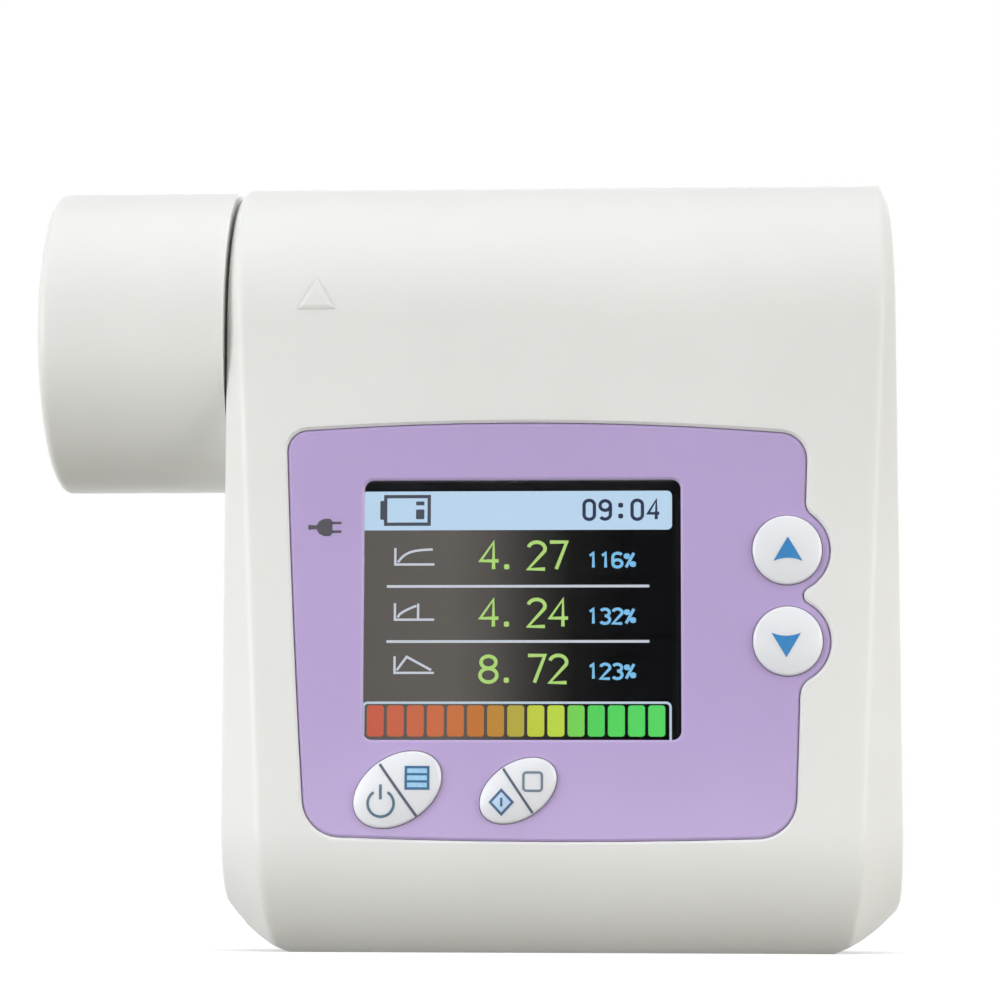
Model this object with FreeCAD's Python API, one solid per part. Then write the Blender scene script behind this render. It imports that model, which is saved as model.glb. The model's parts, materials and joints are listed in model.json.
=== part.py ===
# A hand-held turbine spirometer, modelled upright in millimetres: X to the right, Y to the back, Z up.
# The origin lies on the flat foot, under the middle of the body's width and under the flow axis.
# The flow axis runs along X through the round head; the mouth end is at the left.
import FreeCAD, Part
import math
import os

from FreeCAD import Vector

# Driving sizes of the body
OVERALL_LENGTH = 97.4
OVERALL_HEIGHT = 89.0
HEAD_R = 18.0
HALF_WIDTH = 38.2
WALL = 2.0
AXIS_Z = OVERALL_HEIGHT - HEAD_R
FRONT_Y = -HEAD_R
GRIP_BACK = 12.0
GRIP_LEAN = 3.0
NECK_R = 22.0
TOE_R = 17.0
TOE_TOP_Z = 13.5
HEEL_R = 5.5
FOOT_CORNER_PLACE = (22.1, 21.45)
FOOT_CORNER_R = 23.0
END_DRAFT = 0.4
END_DRAFT_FOOT_Z = 4.8

# End faces: how far each one is drawn in from the side profile, and the bevels that lead out to it
END_HEAD_INSET = 2.5
END_HEAD_LIFT = 0.8
END_HEEL_INSET = 3.8
END_TOE_PLACE = (-3.4, 14.5)
END_TOE_R = 9.0
BEVEL_REACH = 11.0
BEVEL_STEEPNESS = 1.2
BEVEL_INNER_ROUND = 1.2
BEVEL_OUTER_ROUND = 1.2
LIP_THICK = 0.9
LIP_HEIGHT = 1.0
LIP_GAP = 0.08

# Front panel, in the plane of the front face (x, z)
PANEL_DEPTH = 0.2
PANEL_THICK = 1.0
PANEL_GAP = 0.07
PANEL_BEVEL = 0.3
RECESS_BEVEL = 0.3
PANEL_CORNERS = {
    "top_left": (-30.5, 57.85),
    "top_right": (27.65, 57.3),
    "foot_right": (26.0, 12.75),
    "foot_left": (-28.1, 12.85),
}
PANEL_CORNER_R = {"top_left": 2.3, "top_right": 3.0, "foot_right": 4.4, "foot_left": 4.3}
PANEL_TOP_MID = (-1.4, 58.75)
PANEL_FOOT_MID = (-1.0, 12.25)
PANEL_LEFT_MID = (-29.5, 35.3)
LOBE_R = 4.75
LOBE_JOIN_R = 2.0
NOTCH_R = 1.0

# Keys: centre x, centre z, half length, half width, lean of the long axis in degrees
ARROW_KEY_R = 3.85
KEYS = {
    "up": (25.3, 44.4, ARROW_KEY_R, ARROW_KEY_R, 0.0),
    "down": (25.3, 34.3, ARROW_KEY_R, ARROW_KEY_R, 0.0),
    "power": (-17.8, 17.9, 5.35, 3.65, 34.0),
    "start": (-4.45, 17.8, 4.7, 3.05, 34.0),
}
KEY_TRAVEL = 0.5
KEY_RISE = 1.1
KEY_EDGE_RISE = 0.45
KEY_EDGE_SOFT = 0.4
KEY_GAP = 0.08
STEM_R = 1.6
STEM_HOLE_R = 1.9
BARB_R = 2.2
PLUNGER_R = 1.4
PLUNGER_SPARE = 0.1
SWITCH_SIDE = 6.0
SWITCH_HEIGHT = 2.2

# Display
WINDOW_X = (-21.75, 13.55)
WINDOW_Z = (23.4, 52.4)
WINDOW_CORNER_R = 1.0
LENS_MARGIN = 0.8
LENS_THICK = 0.8
GASKET_THICK = 0.4
DISPLAY_X = (-24.0, 20.6)
DISPLAY_Z = (22.5, 56.4)
DISPLAY_THICK = 2.6
ACTIVE_WIDTH = 35.04
ACTIVE_HEIGHT = 28.03

# Circuit board and battery
BOARD_FRONT_Y = -10.2
BOARD_THICK = 1.2
BOARD_X = (-34.6, 34.0)
BOARD_Z = (11.6, 54.0)
BOARD_NOTCH = (27.9, 47.4)
BOARD_POSTS = [(-29.4, 15.6), (29.0, 15.6), (-29.4, 33.0), (29.0, 26.4)]
POST_R = 2.0
POST_PILOT_R = 0.8
BATTERY_SIZE = (50.0, 8.0, 34.0)
BATTERY_Z = 13.0
BATTERY_BACK_Y = 2.0
CASE_BOSSES = [(-31.6, 51.4), (31.6, 51.4), (-27.6, 7.9), (27.6, 7.9)]
BOSS_R = 2.7
BOSS_PILOT_R = 0.95
BOSS_CLEAR_R = 1.2
SCREW_HEAD_R = 1.9
SCREW_HEAD_THICK = 1.3
SCREW_RECESS_R = 2.1
SCREW_SEAT_Y = 5.0
CASE_SCREW_LENGTH = 12.5

# Charging socket, in the left wall
SOCKET_Z = 44.0
SOCKET_WIDTH = 7.5
SOCKET_THICK = 2.6
SOCKET_DEPTH = 5.0
LAMP_PLACE = (-26.0, 47.1)
LAMP_GUIDE_R = 0.9

# Flow head
COLLAR_R = 17.65
COLLAR_END_X = HALF_WIDTH - OVERALL_LENGTH
COLLAR_GAP = 0.14
MOUTH_R = 15.15
MOUTH_DEPTH = 19.0
COLLAR_RIM_ROUND = 1.0
BARREL_R = 13.0
BARREL_BORE_R = 11.8
BARREL_END_X = 35.9
PORT_R = 13.08
SEAL_SQUEEZE_GAP = 0.03
LUG_R = 14.2
LUG_THICK = 1.7
LUG_COUNT = 3
LUG_ANGLE = 28.0
NOTCH_ANGLE = 36.0
LOCK_TURN = 50.0
STOP_ANGLE = 4.0
OUTLET_R = 12.1
NECK_END_X = -31.5
SPIGOT_R = 12.4
SEAL_SECTION_R = 0.5
SEAL_X = 33.2
SWIRL_BLADES = 6
SWIRL_LENGTH = 8.0
SWIRL_TWIST = 42.0
SWIRL_HUB_R = 2.2
BLADE_THICK = 0.7
INLET_SWIRL_X = -8.0
OUTLET_SWIRL_X = 16.0
VANE_LENGTH = 10.0
VANE_R = 11.1
VANE_THICK = 0.4
PIN_R = 0.4
BEARING_R = 1.1
BEARING_LENGTH = 1.6
SADDLE_FOOT_Z = 57.2
CRADLE_X = (1.5, 14.5)
CRADLE_INNER_R = 13.3
CRADLE_OUTER_R = 15.4
GATE_ANGLE = 116.0

TINY = 0.01
FAR = 200.0


# Small helpers

def box(x, y, z):
    """A block between pairs of limits along each axis."""
    return Part.makeBox(x[1] - x[0], y[1] - y[0], z[1] - z[0], Vector(x[0], y[0], z[0]))


def rod_y(x, z, radius, y):
    """A round rod along Y between two depths."""
    return Part.makeCylinder(radius, y[1] - y[0], Vector(x, y[0], z), Vector(0, 1, 0))


def rod_x(radius, x):
    """A round rod on the flow axis between two stations."""
    return Part.makeCylinder(radius, x[1] - x[0], Vector(x[0], 0, AXIS_Z), Vector(1, 0, 0))


def ring_x(inner, outer, x):
    """A ring on the flow axis."""
    return rod_x(outer, x).cut(rod_x(inner, x))


def sector_x(inner, outer, x, middle, width):
    """A piece of a ring on the flow axis; angles run from the top towards the front, in degrees."""
    wedge = Part.makeCylinder(outer, x[1] - x[0], Vector(x[0], 0, AXIS_Z), Vector(1, 0, 0), width)
    core = rod_x(inner, x)
    piece = wedge.cut(core)
    piece.rotate(Vector(0, 0, AXIS_Z), Vector(1, 0, 0), middle - width / 2 - start_angle(outer))
    return piece


def start_angle(radius):
    """The angle from the top at which a wedge cylinder along X begins before it is turned."""
    probe = Part.makeCylinder(radius, 1.0, Vector(0, 0, 0), Vector(1, 0, 0), 1.0)
    centre = probe.CenterOfMass
    return math.degrees(math.atan2(-centre.y, centre.z)) - 0.5


def fused(pieces):
    """One clean solid from overlapping pieces."""
    whole = pieces[0]
    if len(pieces) > 1:
        whole = whole.fuse(pieces[1:])
    return whole.removeSplitter()


def turned(shape, angle):
    """A copy turned about the flow axis."""
    copy = shape.copy()
    copy.rotate(Vector(0, 0, AXIS_Z), Vector(1, 0, 0), angle)
    return copy


def arc(centre, radius, start, end, x):
    """An arc in a plane across X, from one direction to another in degrees, anticlockwise positive."""
    def at(angle):
        a = math.radians(angle)
        return Vector(x, centre[0] + radius * math.cos(a), centre[1] + radius * math.sin(a))

    return Part.Arc(at(start), at((start + end) / 2), at(end)).toShape()


def loop_edges(shape, x):
    """The edges that lie in the plane across X at one station."""
    return [e for e in shape.Edges if abs(e.BoundBox.XMin - x) < TINY and abs(e.BoundBox.XMax - x) < TINY]


# The body's outer form and its cavity share one side profile

def neck_place():
    """The centre of the neck's hollow curve and the direction, in degrees, in which it meets the head."""
    lean = math.radians(GRIP_LEAN)
    grip = GRIP_BACK * math.cos(lean) - HEEL_R * (1 - math.cos(lean))
    reach = HEAD_R + NECK_R
    turn = lean - math.acos((grip + NECK_R - AXIS_Z * math.sin(lean)) / reach)
    return (reach * math.cos(turn), AXIS_Z + reach * math.sin(turn)), math.degrees(turn)


def heel_place():
    """The centre of the round at the foot of the back."""
    lean = math.radians(GRIP_LEAN)
    grip = GRIP_BACK * math.cos(lean) - HEEL_R * (1 - math.cos(lean))
    return ((grip - HEEL_R - HEEL_R * math.sin(lean)) / math.cos(lean), HEEL_R)


def side_profile(inset, x):
    """The body seen from the side: flat front, round head, hollow neck, a grip that widens down and a tucked toe."""
    neck, neck_turn = neck_place()
    heel = heel_place()
    lean = math.radians(GRIP_LEAN)
    normal = (math.cos(lean), math.sin(lean))
    toe = (FRONT_Y + TOE_R, TOE_TOP_Z)
    toe_r = TOE_R - inset
    toe_end = 180 + math.degrees(math.asin((TOE_TOP_Z - inset) / toe_r))
    toe_foot_y = toe[0] + toe_r * math.cos(math.radians(toe_end))
    heel_r = HEEL_R - inset
    neck_r = NECK_R + inset
    edges = [
        Part.makeLine(Vector(x, FRONT_Y + inset, toe[1]), Vector(x, FRONT_Y + inset, AXIS_Z)),
        arc((0, AXIS_Z), HEAD_R - inset, 180, neck_turn, x),
        arc(neck, neck_r, neck_turn + 180, GRIP_LEAN + 180, x),
        Part.makeLine(
            Vector(x, neck[0] - neck_r * normal[0], neck[1] - neck_r * normal[1]),
            Vector(x, heel[0] + heel_r * normal[0], heel[1] + heel_r * normal[1]),
        ),
        arc(heel, heel_r, GRIP_LEAN, -90, x),
        Part.makeLine(Vector(x, heel[0], inset), Vector(x, toe_foot_y, inset)),
        arc(toe, toe_r, toe_end, 180, x),
    ]
    return Part.Wire(edges)


def tangent_direction(first, first_r, second, second_r, side):
    """The outward direction, in radians, of a line that touches two circles; a negative radius is a hollow."""
    span = (second[0] - first[0], second[1] - first[1])
    distance = math.hypot(*span)
    heading = math.atan2(span[1], span[0])
    return heading + side * math.acos((first_r - second_r) / distance)


def touch_point(centre, radius, direction, x):
    """A point of a circle in a plane across X."""
    return Vector(x, centre[0] + radius * math.cos(direction), centre[1] + radius * math.sin(direction))


def end_outline(grow, x):
    """The outline of an end face, which is drawn in least round the head and most at the foot of the front."""
    (neck_y, neck_z), neck_turn = neck_place()
    neck = (neck_y, neck_z + END_HEAD_LIFT)
    heel = heel_place()
    head = (0, AXIS_Z + END_HEAD_LIFT)
    head_r = HEAD_R - END_HEAD_INSET + grow
    neck_r = NECK_R + END_HEAD_INSET - grow
    heel_r = HEEL_R - END_HEEL_INSET + grow
    toe_r = END_TOE_R + grow
    front = tangent_direction(END_TOE_PLACE, toe_r, head, head_r, 1)
    back = tangent_direction(heel, heel_r, neck, -neck_r, -1)
    foot = tangent_direction(END_TOE_PLACE, toe_r, heel, heel_r, -1)
    turn = 2 * math.pi
    front_turn = math.degrees(front % turn)
    back_turn = math.degrees(back)
    foot_turn = math.degrees(foot % turn)
    edges = [
        Part.makeLine(touch_point(END_TOE_PLACE, toe_r, front, x), touch_point(head, head_r, front, x)),
        arc(head, head_r, front_turn, neck_turn, x),
        arc(neck, neck_r, neck_turn + 180, back_turn + 180, x),
        Part.makeLine(touch_point(neck, -neck_r, back, x), touch_point(heel, heel_r, back, x)),
        arc(heel, heel_r, back_turn, foot_turn - 360, x),
        Part.makeLine(touch_point(heel, heel_r, foot, x), touch_point(END_TOE_PLACE, toe_r, foot, x)),
        arc(END_TOE_PLACE, toe_r, foot_turn, front_turn, x),
    ]
    return Part.Wire(edges)


def foot_corner_cut(side, inset):
    """The block outside the bowed, slanted lower corner of the body at one side."""
    x, z = FOOT_CORNER_PLACE
    reach = sorted((side * x, side * (x + FOOT_CORNER_R)))
    block = box(reach, (-FAR / 2, FAR / 2), (z - FOOT_CORNER_R - 1, z))
    return block.cut(rod_y(side * x, z, FOOT_CORNER_R - inset, (-FAR, FAR)))


def body_form(inset):
    """The body as one solid, drawn in all round by an inset, with its bevelled ends and slanted lower corners."""
    half = HALF_WIDTH - inset
    face = Part.Face(side_profile(inset, -half - 1))
    core = face.extrude(Vector(2 * half + 2, 0, 0))
    drawn_in = inset * (math.hypot(1, BEVEL_STEEPNESS) - BEVEL_STEEPNESS)
    rise = BEVEL_REACH * BEVEL_STEEPNESS
    stations = [(-half, 0), (-half + BEVEL_REACH, rise), (half - BEVEL_REACH, rise), (half, 0)]
    ends = Part.makeLoft([end_outline(grow - drawn_in, x) for x, grow in stations], True, True)
    form = core.common(ends)
    return form.cut([foot_corner_cut(-1, inset), foot_corner_cut(1, inset)])


def wall_x(z):
    """The distance from the middle to the outside of an end wall, which leans in towards the top by the draft."""
    return HALF_WIDTH - (z - END_DRAFT_FOOT_Z) * math.tan(math.radians(END_DRAFT))


def draft_cut(side):
    """The thin wedge outside an end wall."""
    foot = END_DRAFT_FOOT_Z
    points = [(HALF_WIDTH, foot), (HALF_WIDTH + 5, foot), (HALF_WIDTH + 5, FAR), (wall_x(FAR), FAR)]
    corners = [Vector(side * px, -FAR / 2, pz) for px, pz in points]
    return Part.Face(Part.makePolygon(corners + corners[:1])).extrude(Vector(0, FAR, 0))


def rim_edges(shape):
    """The edges round both end faces, without those on the slanted corners."""
    return [e for e in shape.Edges if edge_between(e, HALF_WIDTH - 0.8, HALF_WIDTH + TINY) and e.BoundBox.ZMax > HEEL_R + 1]


def bevel_edges(shape):
    """The edges where both bevels meet the front, head, neck and back."""
    return [e for e in shape.Edges if edge_between(e, HALF_WIDTH - 7, HALF_WIDTH - 0.9) and e.BoundBox.ZMax > HEEL_R]


def edge_between(edge, low, high):
    """Whether an edge lies between two distances from the middle of the body's width, at either end."""
    spot = edge.BoundBox
    return (spot.XMin > low and spot.XMax < high) or (spot.XMax < -low and spot.XMin > -high)


def outer_form():
    """The outside of the body with the edges of its bevels rounded."""
    form = body_form(0).cut([draft_cut(-1), draft_cut(1)])
    form = form.makeFillet(BEVEL_INNER_ROUND, bevel_edges(form))
    return form.makeFillet(BEVEL_OUTER_ROUND, rim_edges(form))


def cavity_form(inset):
    """The hollow inside the body, or a slightly larger copy of it for the lip along the parting line."""
    return body_form(inset)


# The lobed outline of the front panel

def disc(x, z, radius, y):
    """A round plate parallel to the front face."""
    return rod_y(x, z, radius, y)


def plate(points, y):
    """A flat plate parallel to the front face from its corner points."""
    corners = [Vector(px, y[0], pz) for px, pz in points]
    return Part.Face(Part.makePolygon(corners + corners[:1])).extrude(Vector(0, y[1] - y[0], 0))


def panel_base(grow, y):
    """The panel without its lobes: bowed edges and four round corners."""
    sign = {"top_left": (-1, 1), "top_right": (1, 1), "foot_right": (1, -1), "foot_left": (-1, -1)}
    corner = {}
    for name, (cx, cz) in PANEL_CORNERS.items():
        corner[name] = Vector(cx + grow * sign[name][0], y[0], cz + grow * sign[name][1])
    top = Vector(PANEL_TOP_MID[0], y[0], PANEL_TOP_MID[1] + grow)
    foot = Vector(PANEL_FOOT_MID[0], y[0], PANEL_FOOT_MID[1] - grow)
    left = Vector(PANEL_LEFT_MID[0] - grow, y[0], PANEL_LEFT_MID[1])
    wire = Part.Wire([
        Part.Arc(corner["top_left"], top, corner["top_right"]).toShape(),
        Part.makeLine(corner["top_right"], corner["foot_right"]),
        Part.Arc(corner["foot_right"], foot, corner["foot_left"]).toShape(),
        Part.Arc(corner["foot_left"], left, corner["top_left"]).toShape(),
    ])
    base = Part.Face(wire).extrude(Vector(0, y[1] - y[0], 0))
    for name, point in corner.items():
        upright = [e for e in base.Edges if upright_at(e, point)]
        base = base.makeFillet(PANEL_CORNER_R[name] + grow, upright)
    return base


def upright_at(edge, point):
    """Whether an edge runs along Y through a corner point."""
    spot = edge.BoundBox
    across = abs(spot.XMax - spot.XMin) < TINY and abs(spot.ZMax - spot.ZMin) < TINY
    return across and abs(spot.XMin - point.x) < 0.05 and abs(spot.ZMin - point.z) < 0.05


def edge_x(z):
    """The panel's right-hand edge before the lobes are added."""
    top, foot = PANEL_CORNERS["top_right"], PANEL_CORNERS["foot_right"]
    return foot[0] + (top[0] - foot[0]) * (z - foot[1]) / (top[1] - foot[1])


def panel_form(grow, y):
    """The whole panel outline as a plate: base, a lobe round each arrow key, and tangent joins."""
    lobe = LOBE_R + grow
    up = KEYS["up"][:2]
    down = KEYS["down"][:2]
    whole = [panel_base(grow, y), disc(*up, lobe, y), disc(*down, lobe, y)]
    middle = (up[1] + down[1]) / 2
    notch_r = NOTCH_R - grow
    notch_reach = math.sqrt((LOBE_R + NOTCH_R) ** 2 - ((up[1] - down[1]) / 2) ** 2)
    notch = (up[0] + notch_reach, middle)
    whole.append(plate([up, notch, down], y))
    cuts = [disc(*notch, notch_r, y)]
    for (kx, kz), way in ((up, 1), (down, -1)):
        side = edge_x(kz + way * LOBE_R)
        join_x = side + LOBE_JOIN_R
        rise = math.sqrt((LOBE_R + LOBE_JOIN_R) ** 2 - (join_x - kx) ** 2)
        join = (join_x, kz + way * rise)
        whole.append(plate([(kx, kz), (side - 1.0, join[1]), join], y))
        cuts.append(disc(*join, LOBE_JOIN_R - grow, y))
    return fused(whole).cut(cuts).removeSplitter()


def recess_flare():
    """The bevel round the mouth of the panel's recess, as a tool to cut with."""
    back = FRONT_Y + RECESS_BEVEL
    tool = panel_form(PANEL_GAP + RECESS_BEVEL, (FRONT_Y - 1, back))
    rim = [e for e in tool.Edges if e.BoundBox.YMin > back - TINY]
    return tool.makeChamfer(RECESS_BEVEL, rim)


# Keys

def oval(key, grow, y):
    """A key's outline as a straight-sided plate."""
    kx, kz, long_half, short_half, lean = KEYS[key]
    if long_half == short_half:
        return rod_y(kx, kz, long_half + grow, y)
    a = math.radians(lean)
    centre = Vector(kx, y[0], kz)
    along = Vector(math.cos(a), 0, math.sin(a))
    across = Vector(-math.sin(a), 0, math.cos(a))
    curve = Part.Ellipse(centre + along * (long_half + grow), centre + across * (short_half + grow), centre)
    return Part.Face(Part.Wire(curve.toShape())).extrude(Vector(0, y[1] - y[0], 0))


def keycap(key):
    """A domed cap with a snap-in stem that reaches the switch plunger behind it."""
    kx, kz, long_half, short_half, lean = KEYS[key]
    face_y = FRONT_Y + PANEL_DEPTH
    edge_y = face_y - KEY_EDGE_RISE
    back_y = face_y + PANEL_THICK - KEY_TRAVEL
    r = short_half
    crown = KEY_RISE - KEY_EDGE_RISE
    dome_r = (r * r + crown * crown) / (2 * crown)
    body = rod_y(0, 0, r, (edge_y - crown - 1.0, back_y))
    dome = Part.makeSphere(dome_r, Vector(0, edge_y - crown + dome_r, 0))
    cap = body.common(dome)
    rim = [e for e in cap.Edges if abs(e.BoundBox.YMax - edge_y) < TINY and e.BoundBox.YLength < TINY]
    cap = cap.makeFillet(KEY_EDGE_SOFT, rim)
    if long_half != short_half:
        stretch = FreeCAD.Matrix()
        stretch.scale(long_half / short_half, 1, 1)
        cap = cap.transformGeometry(stretch)
    cap.rotate(Vector(0, 0, 0), Vector(0, -1, 0), lean)
    cap.translate(Vector(kx, 0, kz))
    plunger_y = switch_top_y() - KEY_TRAVEL - PLUNGER_SPARE
    stem = rod_y(kx, kz, STEM_R, (back_y - TINY, plunger_y))
    wall_back = FRONT_Y + WALL
    barb = Part.makeCone(BARB_R, STEM_R, 1.0, Vector(kx, wall_back + 0.1, kz), Vector(0, 1, 0))
    return cap.fuse([stem, barb]).removeSplitter()


def switch_top_y():
    """The front face of the key switches on the board."""
    return BOARD_FRONT_Y - SWITCH_HEIGHT


def switch_plunger(key):
    """The moving button of a key switch, with a wider foot inside the housing."""
    kx, kz = KEYS[key][:2]
    top = switch_top_y()
    neck = rod_y(kx, kz, PLUNGER_R, (top - KEY_TRAVEL - PLUNGER_SPARE, top + 0.6))
    foot = rod_y(kx, kz, PLUNGER_R + 0.5, (top + 0.4, top + 0.9))
    return neck.fuse(foot).removeSplitter()


def switch_bases():
    """Four square switch housings with a well for the plunger and solder legs folded under them."""
    pieces = []
    half = SWITCH_SIDE / 2
    top = switch_top_y()
    for kx, kz in (key[:2] for key in KEYS.values()):
        block = box((kx - half, kx + half), (top, BOARD_FRONT_Y), (kz - half, kz + half))
        block = block.makeChamfer(0.5, [e for e in block.Edges if e.BoundBox.YLength > 2])
        well = rod_y(kx, kz, PLUNGER_R + 0.6, (top + 0.3, top + 1.5))
        mouth = rod_y(kx, kz, PLUNGER_R + 0.08, (top - 1, top + 1))
        pieces.append(block.cut([well, mouth]))
    return Part.makeCompound(pieces)


# Casings

def window_block(margin, corner, y):
    """The display opening as a block with round corners, grown by a margin."""
    x = (WINDOW_X[0] - margin, WINDOW_X[1] + margin)
    z = (WINDOW_Z[0] - margin, WINDOW_Z[1] + margin)
    block = box(x, y, z)
    return block.makeFillet(corner, [e for e in block.Edges if e.BoundBox.YLength > (y[1] - y[0]) / 2])


def port_notches():
    """The three notches in the left port that let the bayonet lugs of the flow head through."""
    x = (-HALF_WIDTH - 1, -HALF_WIDTH + WALL + 1)
    step = 360 / LUG_COUNT
    return [sector_x(1.0, LUG_R + 0.2, x, n * step - LOCK_TURN, NOTCH_ANGLE) for n in range(LUG_COUNT)]


def twist_stops():
    """Two ribs inside the left wall that end the turn of one bayonet lug."""
    x = (-HALF_WIDTH + WALL - TINY, -HALF_WIDTH + WALL + LUG_THICK + 0.2)
    outer = HEAD_R - WALL + 0.3
    reach = LUG_ANGLE / 2 + STOP_ANGLE / 2 + 0.5
    return [sector_x(PORT_R, outer, x, angle, STOP_ANGLE) for angle in (reach, -LOCK_TURN - reach)]


def barrel_socket():
    """The moulded ring inside the right wall that holds the far end of the barrel."""
    return ring_x(PORT_R, PORT_R + 1.4, (HALF_WIDTH - WALL - 5.0, HALF_WIDTH - WALL + TINY))


def barrel_saddle(x):
    """A rib across the head that carries the barrel, cut to a close fit round it."""
    rib = box((x - 0.6, x + 0.6), (-HEAD_R, HEAD_R), (SADDLE_FOOT_Z, AXIS_Z + HEAD_R))
    return rib.cut(rod_x(PORT_R, (x - 1, x + 1)))


def shell_pieces():
    """Everything that both halves of the casing share before they are parted."""
    lug_groove = rod_x(LUG_R + 0.3, (-HALF_WIDTH + WALL, -HALF_WIDTH + WALL + LUG_THICK + 0.2))
    shell = outer_form().cut([cavity_form(WALL), lug_groove])
    fittings = [barrel_socket(), barrel_saddle(-24.0), barrel_saddle(26.0)] + twist_stops()
    fittings = [piece.common(cavity_form(WALL - TINY)) for piece in fittings]
    whole = fused([shell] + fittings)
    holes = [
        rod_x(PORT_R, (-HALF_WIDTH - 1, -HALF_WIDTH + WALL + 0.5)),
        rod_x(OUTLET_R, (HALF_WIDTH - WALL - 1, HALF_WIDTH + 1)),
    ]
    return whole.cut(holes + port_notches())


def outlet_funnel():
    """The flare at the outlet hole in the right wall."""
    flare = 0.8
    length = flare + 0.4
    x = wall_x(AXIS_Z) - flare
    return Part.makeCone(OUTLET_R, OUTLET_R + length, length, Vector(x, 0, AXIS_Z), Vector(1, 0, 0))


def half_space(side):
    """All space in front of the parting plane, or behind it."""
    y = (-FAR, 0) if side == "front" else (0, FAR)
    return box((-FAR, FAR), y, (-FAR, FAR))


def lip(gap):
    """The tongue along the parting line, or the rebate for it when a gap is given."""
    outer = cavity_form(WALL - LIP_THICK - gap)
    ring = outer.cut(cavity_form(WALL))
    ring = ring.common(box((-FAR, FAR), (-LIP_HEIGHT - gap, TINY), (-FAR, FAR)))
    clear = [rod_x(PORT_R + 2.0 - gap, (-HALF_WIDTH - 1, 0)), rod_x(PORT_R + 1.4 - gap, (0, HALF_WIDTH + 1))]
    return ring.cut(clear)


def front_boss(x, z):
    """A screw boss that stands on the inside of the front wall."""
    post = rod_y(x, z, BOSS_R, (FRONT_Y + WALL - 1.5, 0))
    return post.common(cavity_form(WALL - 0.5))


def front_casing(shell):
    """The front half: panel recess, window, key stem holes, board posts and screw bosses."""
    half = shell.common(half_space("front"))
    bosses = [front_boss(x, z) for x, z in CASE_BOSSES]
    posts = [rod_y(x, z, POST_R, (FRONT_Y + WALL - 0.5, BOARD_FRONT_Y)) for x, z in BOARD_POSTS]
    half = fused([half] + bosses + posts)
    face = (FRONT_Y - 1, FRONT_Y + PANEL_DEPTH + PANEL_THICK)
    through = (FRONT_Y - 1, FRONT_Y + WALL + 1)
    window = window_block(LENS_MARGIN + 0.1, WINDOW_CORNER_R, through)
    cuts = [panel_form(PANEL_GAP, face), recess_flare(), window, lip(LIP_GAP)]
    cuts += [rod_y(x, z, STEM_HOLE_R, through) for x, z in (key[:2] for key in KEYS.values())]
    cuts += [rod_y(x, z, BOSS_PILOT_R, (-9.0, 1)) for x, z in CASE_BOSSES]
    cuts += [rod_y(x, z, POST_PILOT_R, (BOARD_FRONT_Y - 4.5, BOARD_FRONT_Y + 1)) for x, z in BOARD_POSTS]
    cuts.append(rod_y(*LAMP_PLACE, LAMP_GUIDE_R, through))
    cuts += socket_cuts()
    return half.cut(cuts).removeSplitter()


def slot_x(width, height, x, y, z):
    """A slot with round ends that runs through the left wall; its long side stands up."""
    straight = width - height
    core = box(x, (y - height / 2, y + height / 2), (z - straight / 2, z + straight / 2))
    ends = [
        Part.makeCylinder(height / 2, x[1] - x[0], Vector(x[0], y, z + way * straight / 2), Vector(1, 0, 0))
        for way in (-1, 1)
    ]
    return fused([core] + ends)


def socket_y():
    """The depth of the charging socket's middle, on the back of the board."""
    return BOARD_FRONT_Y + BOARD_THICK + SOCKET_THICK / 2


def socket_cuts():
    """The opening for the charging plug and the shallow seat for the plug's moulding."""
    y = socket_y()
    left = -HALF_WIDTH
    through = slot_x(SOCKET_WIDTH + 0.8, SOCKET_THICK + 0.8, (left - 1, left + WALL + 1), y, SOCKET_Z)
    seat = slot_x(SOCKET_WIDTH + 3.6, SOCKET_THICK + 3.4, (left - 1, left + 0.8), y, SOCKET_Z)
    return [through, seat]


def rear_boss(x, z):
    """A screw boss on the inside of the rear wall, meeting the front boss at the parting plane."""
    post = rod_y(x, z, BOSS_R, (0, HEAD_R))
    return post.common(cavity_form(WALL - 0.5))


def battery_shelf():
    """Two ribs behind the battery and a ledge under it."""
    half = BATTERY_SIZE[0] / 2 - 6
    top = BATTERY_Z + BATTERY_SIZE[2]
    ribs = [box((-half, half), (BATTERY_BACK_Y, HEAD_R), (z, z + 1.4)) for z in (BATTERY_Z + 6, top - 8)]
    ledge = box((-half, half), (0.5, HEAD_R), (BATTERY_Z - 1.4, BATTERY_Z))
    return [piece.common(cavity_form(WALL - 0.5)) for piece in ribs + [ledge]]


def rear_casing(shell):
    """The rear half: the tongue, the screw bosses with their recesses and the battery ribs."""
    half = shell.common(half_space("rear"))
    bosses = [rear_boss(x, z) for x, z in CASE_BOSSES]
    half = fused([half, lip(0)] + bosses + battery_shelf())
    cuts = [rod_y(x, z, BOSS_CLEAR_R, (-2, FAR)) for x, z in CASE_BOSSES]
    cuts += [rod_y(x, z, SCREW_RECESS_R, (SCREW_SEAT_Y, FAR)) for x, z in CASE_BOSSES]
    return half.cut(cuts).removeSplitter()


# Parts inside the casing

def screw(x, z, head_y, length, shank_r, head_r, head_thick):
    """A pan-head screw driven from the back."""
    straight = 0.4 * head_thick
    head = rod_y(x, z, head_r, (head_y, head_y + straight))
    rise = head_thick - straight
    pan = Part.makeCone(head_r, 0.7 * head_r, rise, Vector(x, head_y + straight, z), Vector(0, 1, 0))
    shank = rod_y(x, z, shank_r, (head_y - length, head_y + TINY))
    return head.fuse([pan, shank]).removeSplitter()


def case_screws():
    """Four screws that hold the two halves together."""
    sizes = (CASE_SCREW_LENGTH, BOSS_PILOT_R - 0.02, SCREW_HEAD_R, SCREW_HEAD_THICK)
    return Part.makeCompound([screw(x, z, SCREW_SEAT_Y, *sizes) for x, z in CASE_BOSSES])


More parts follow.
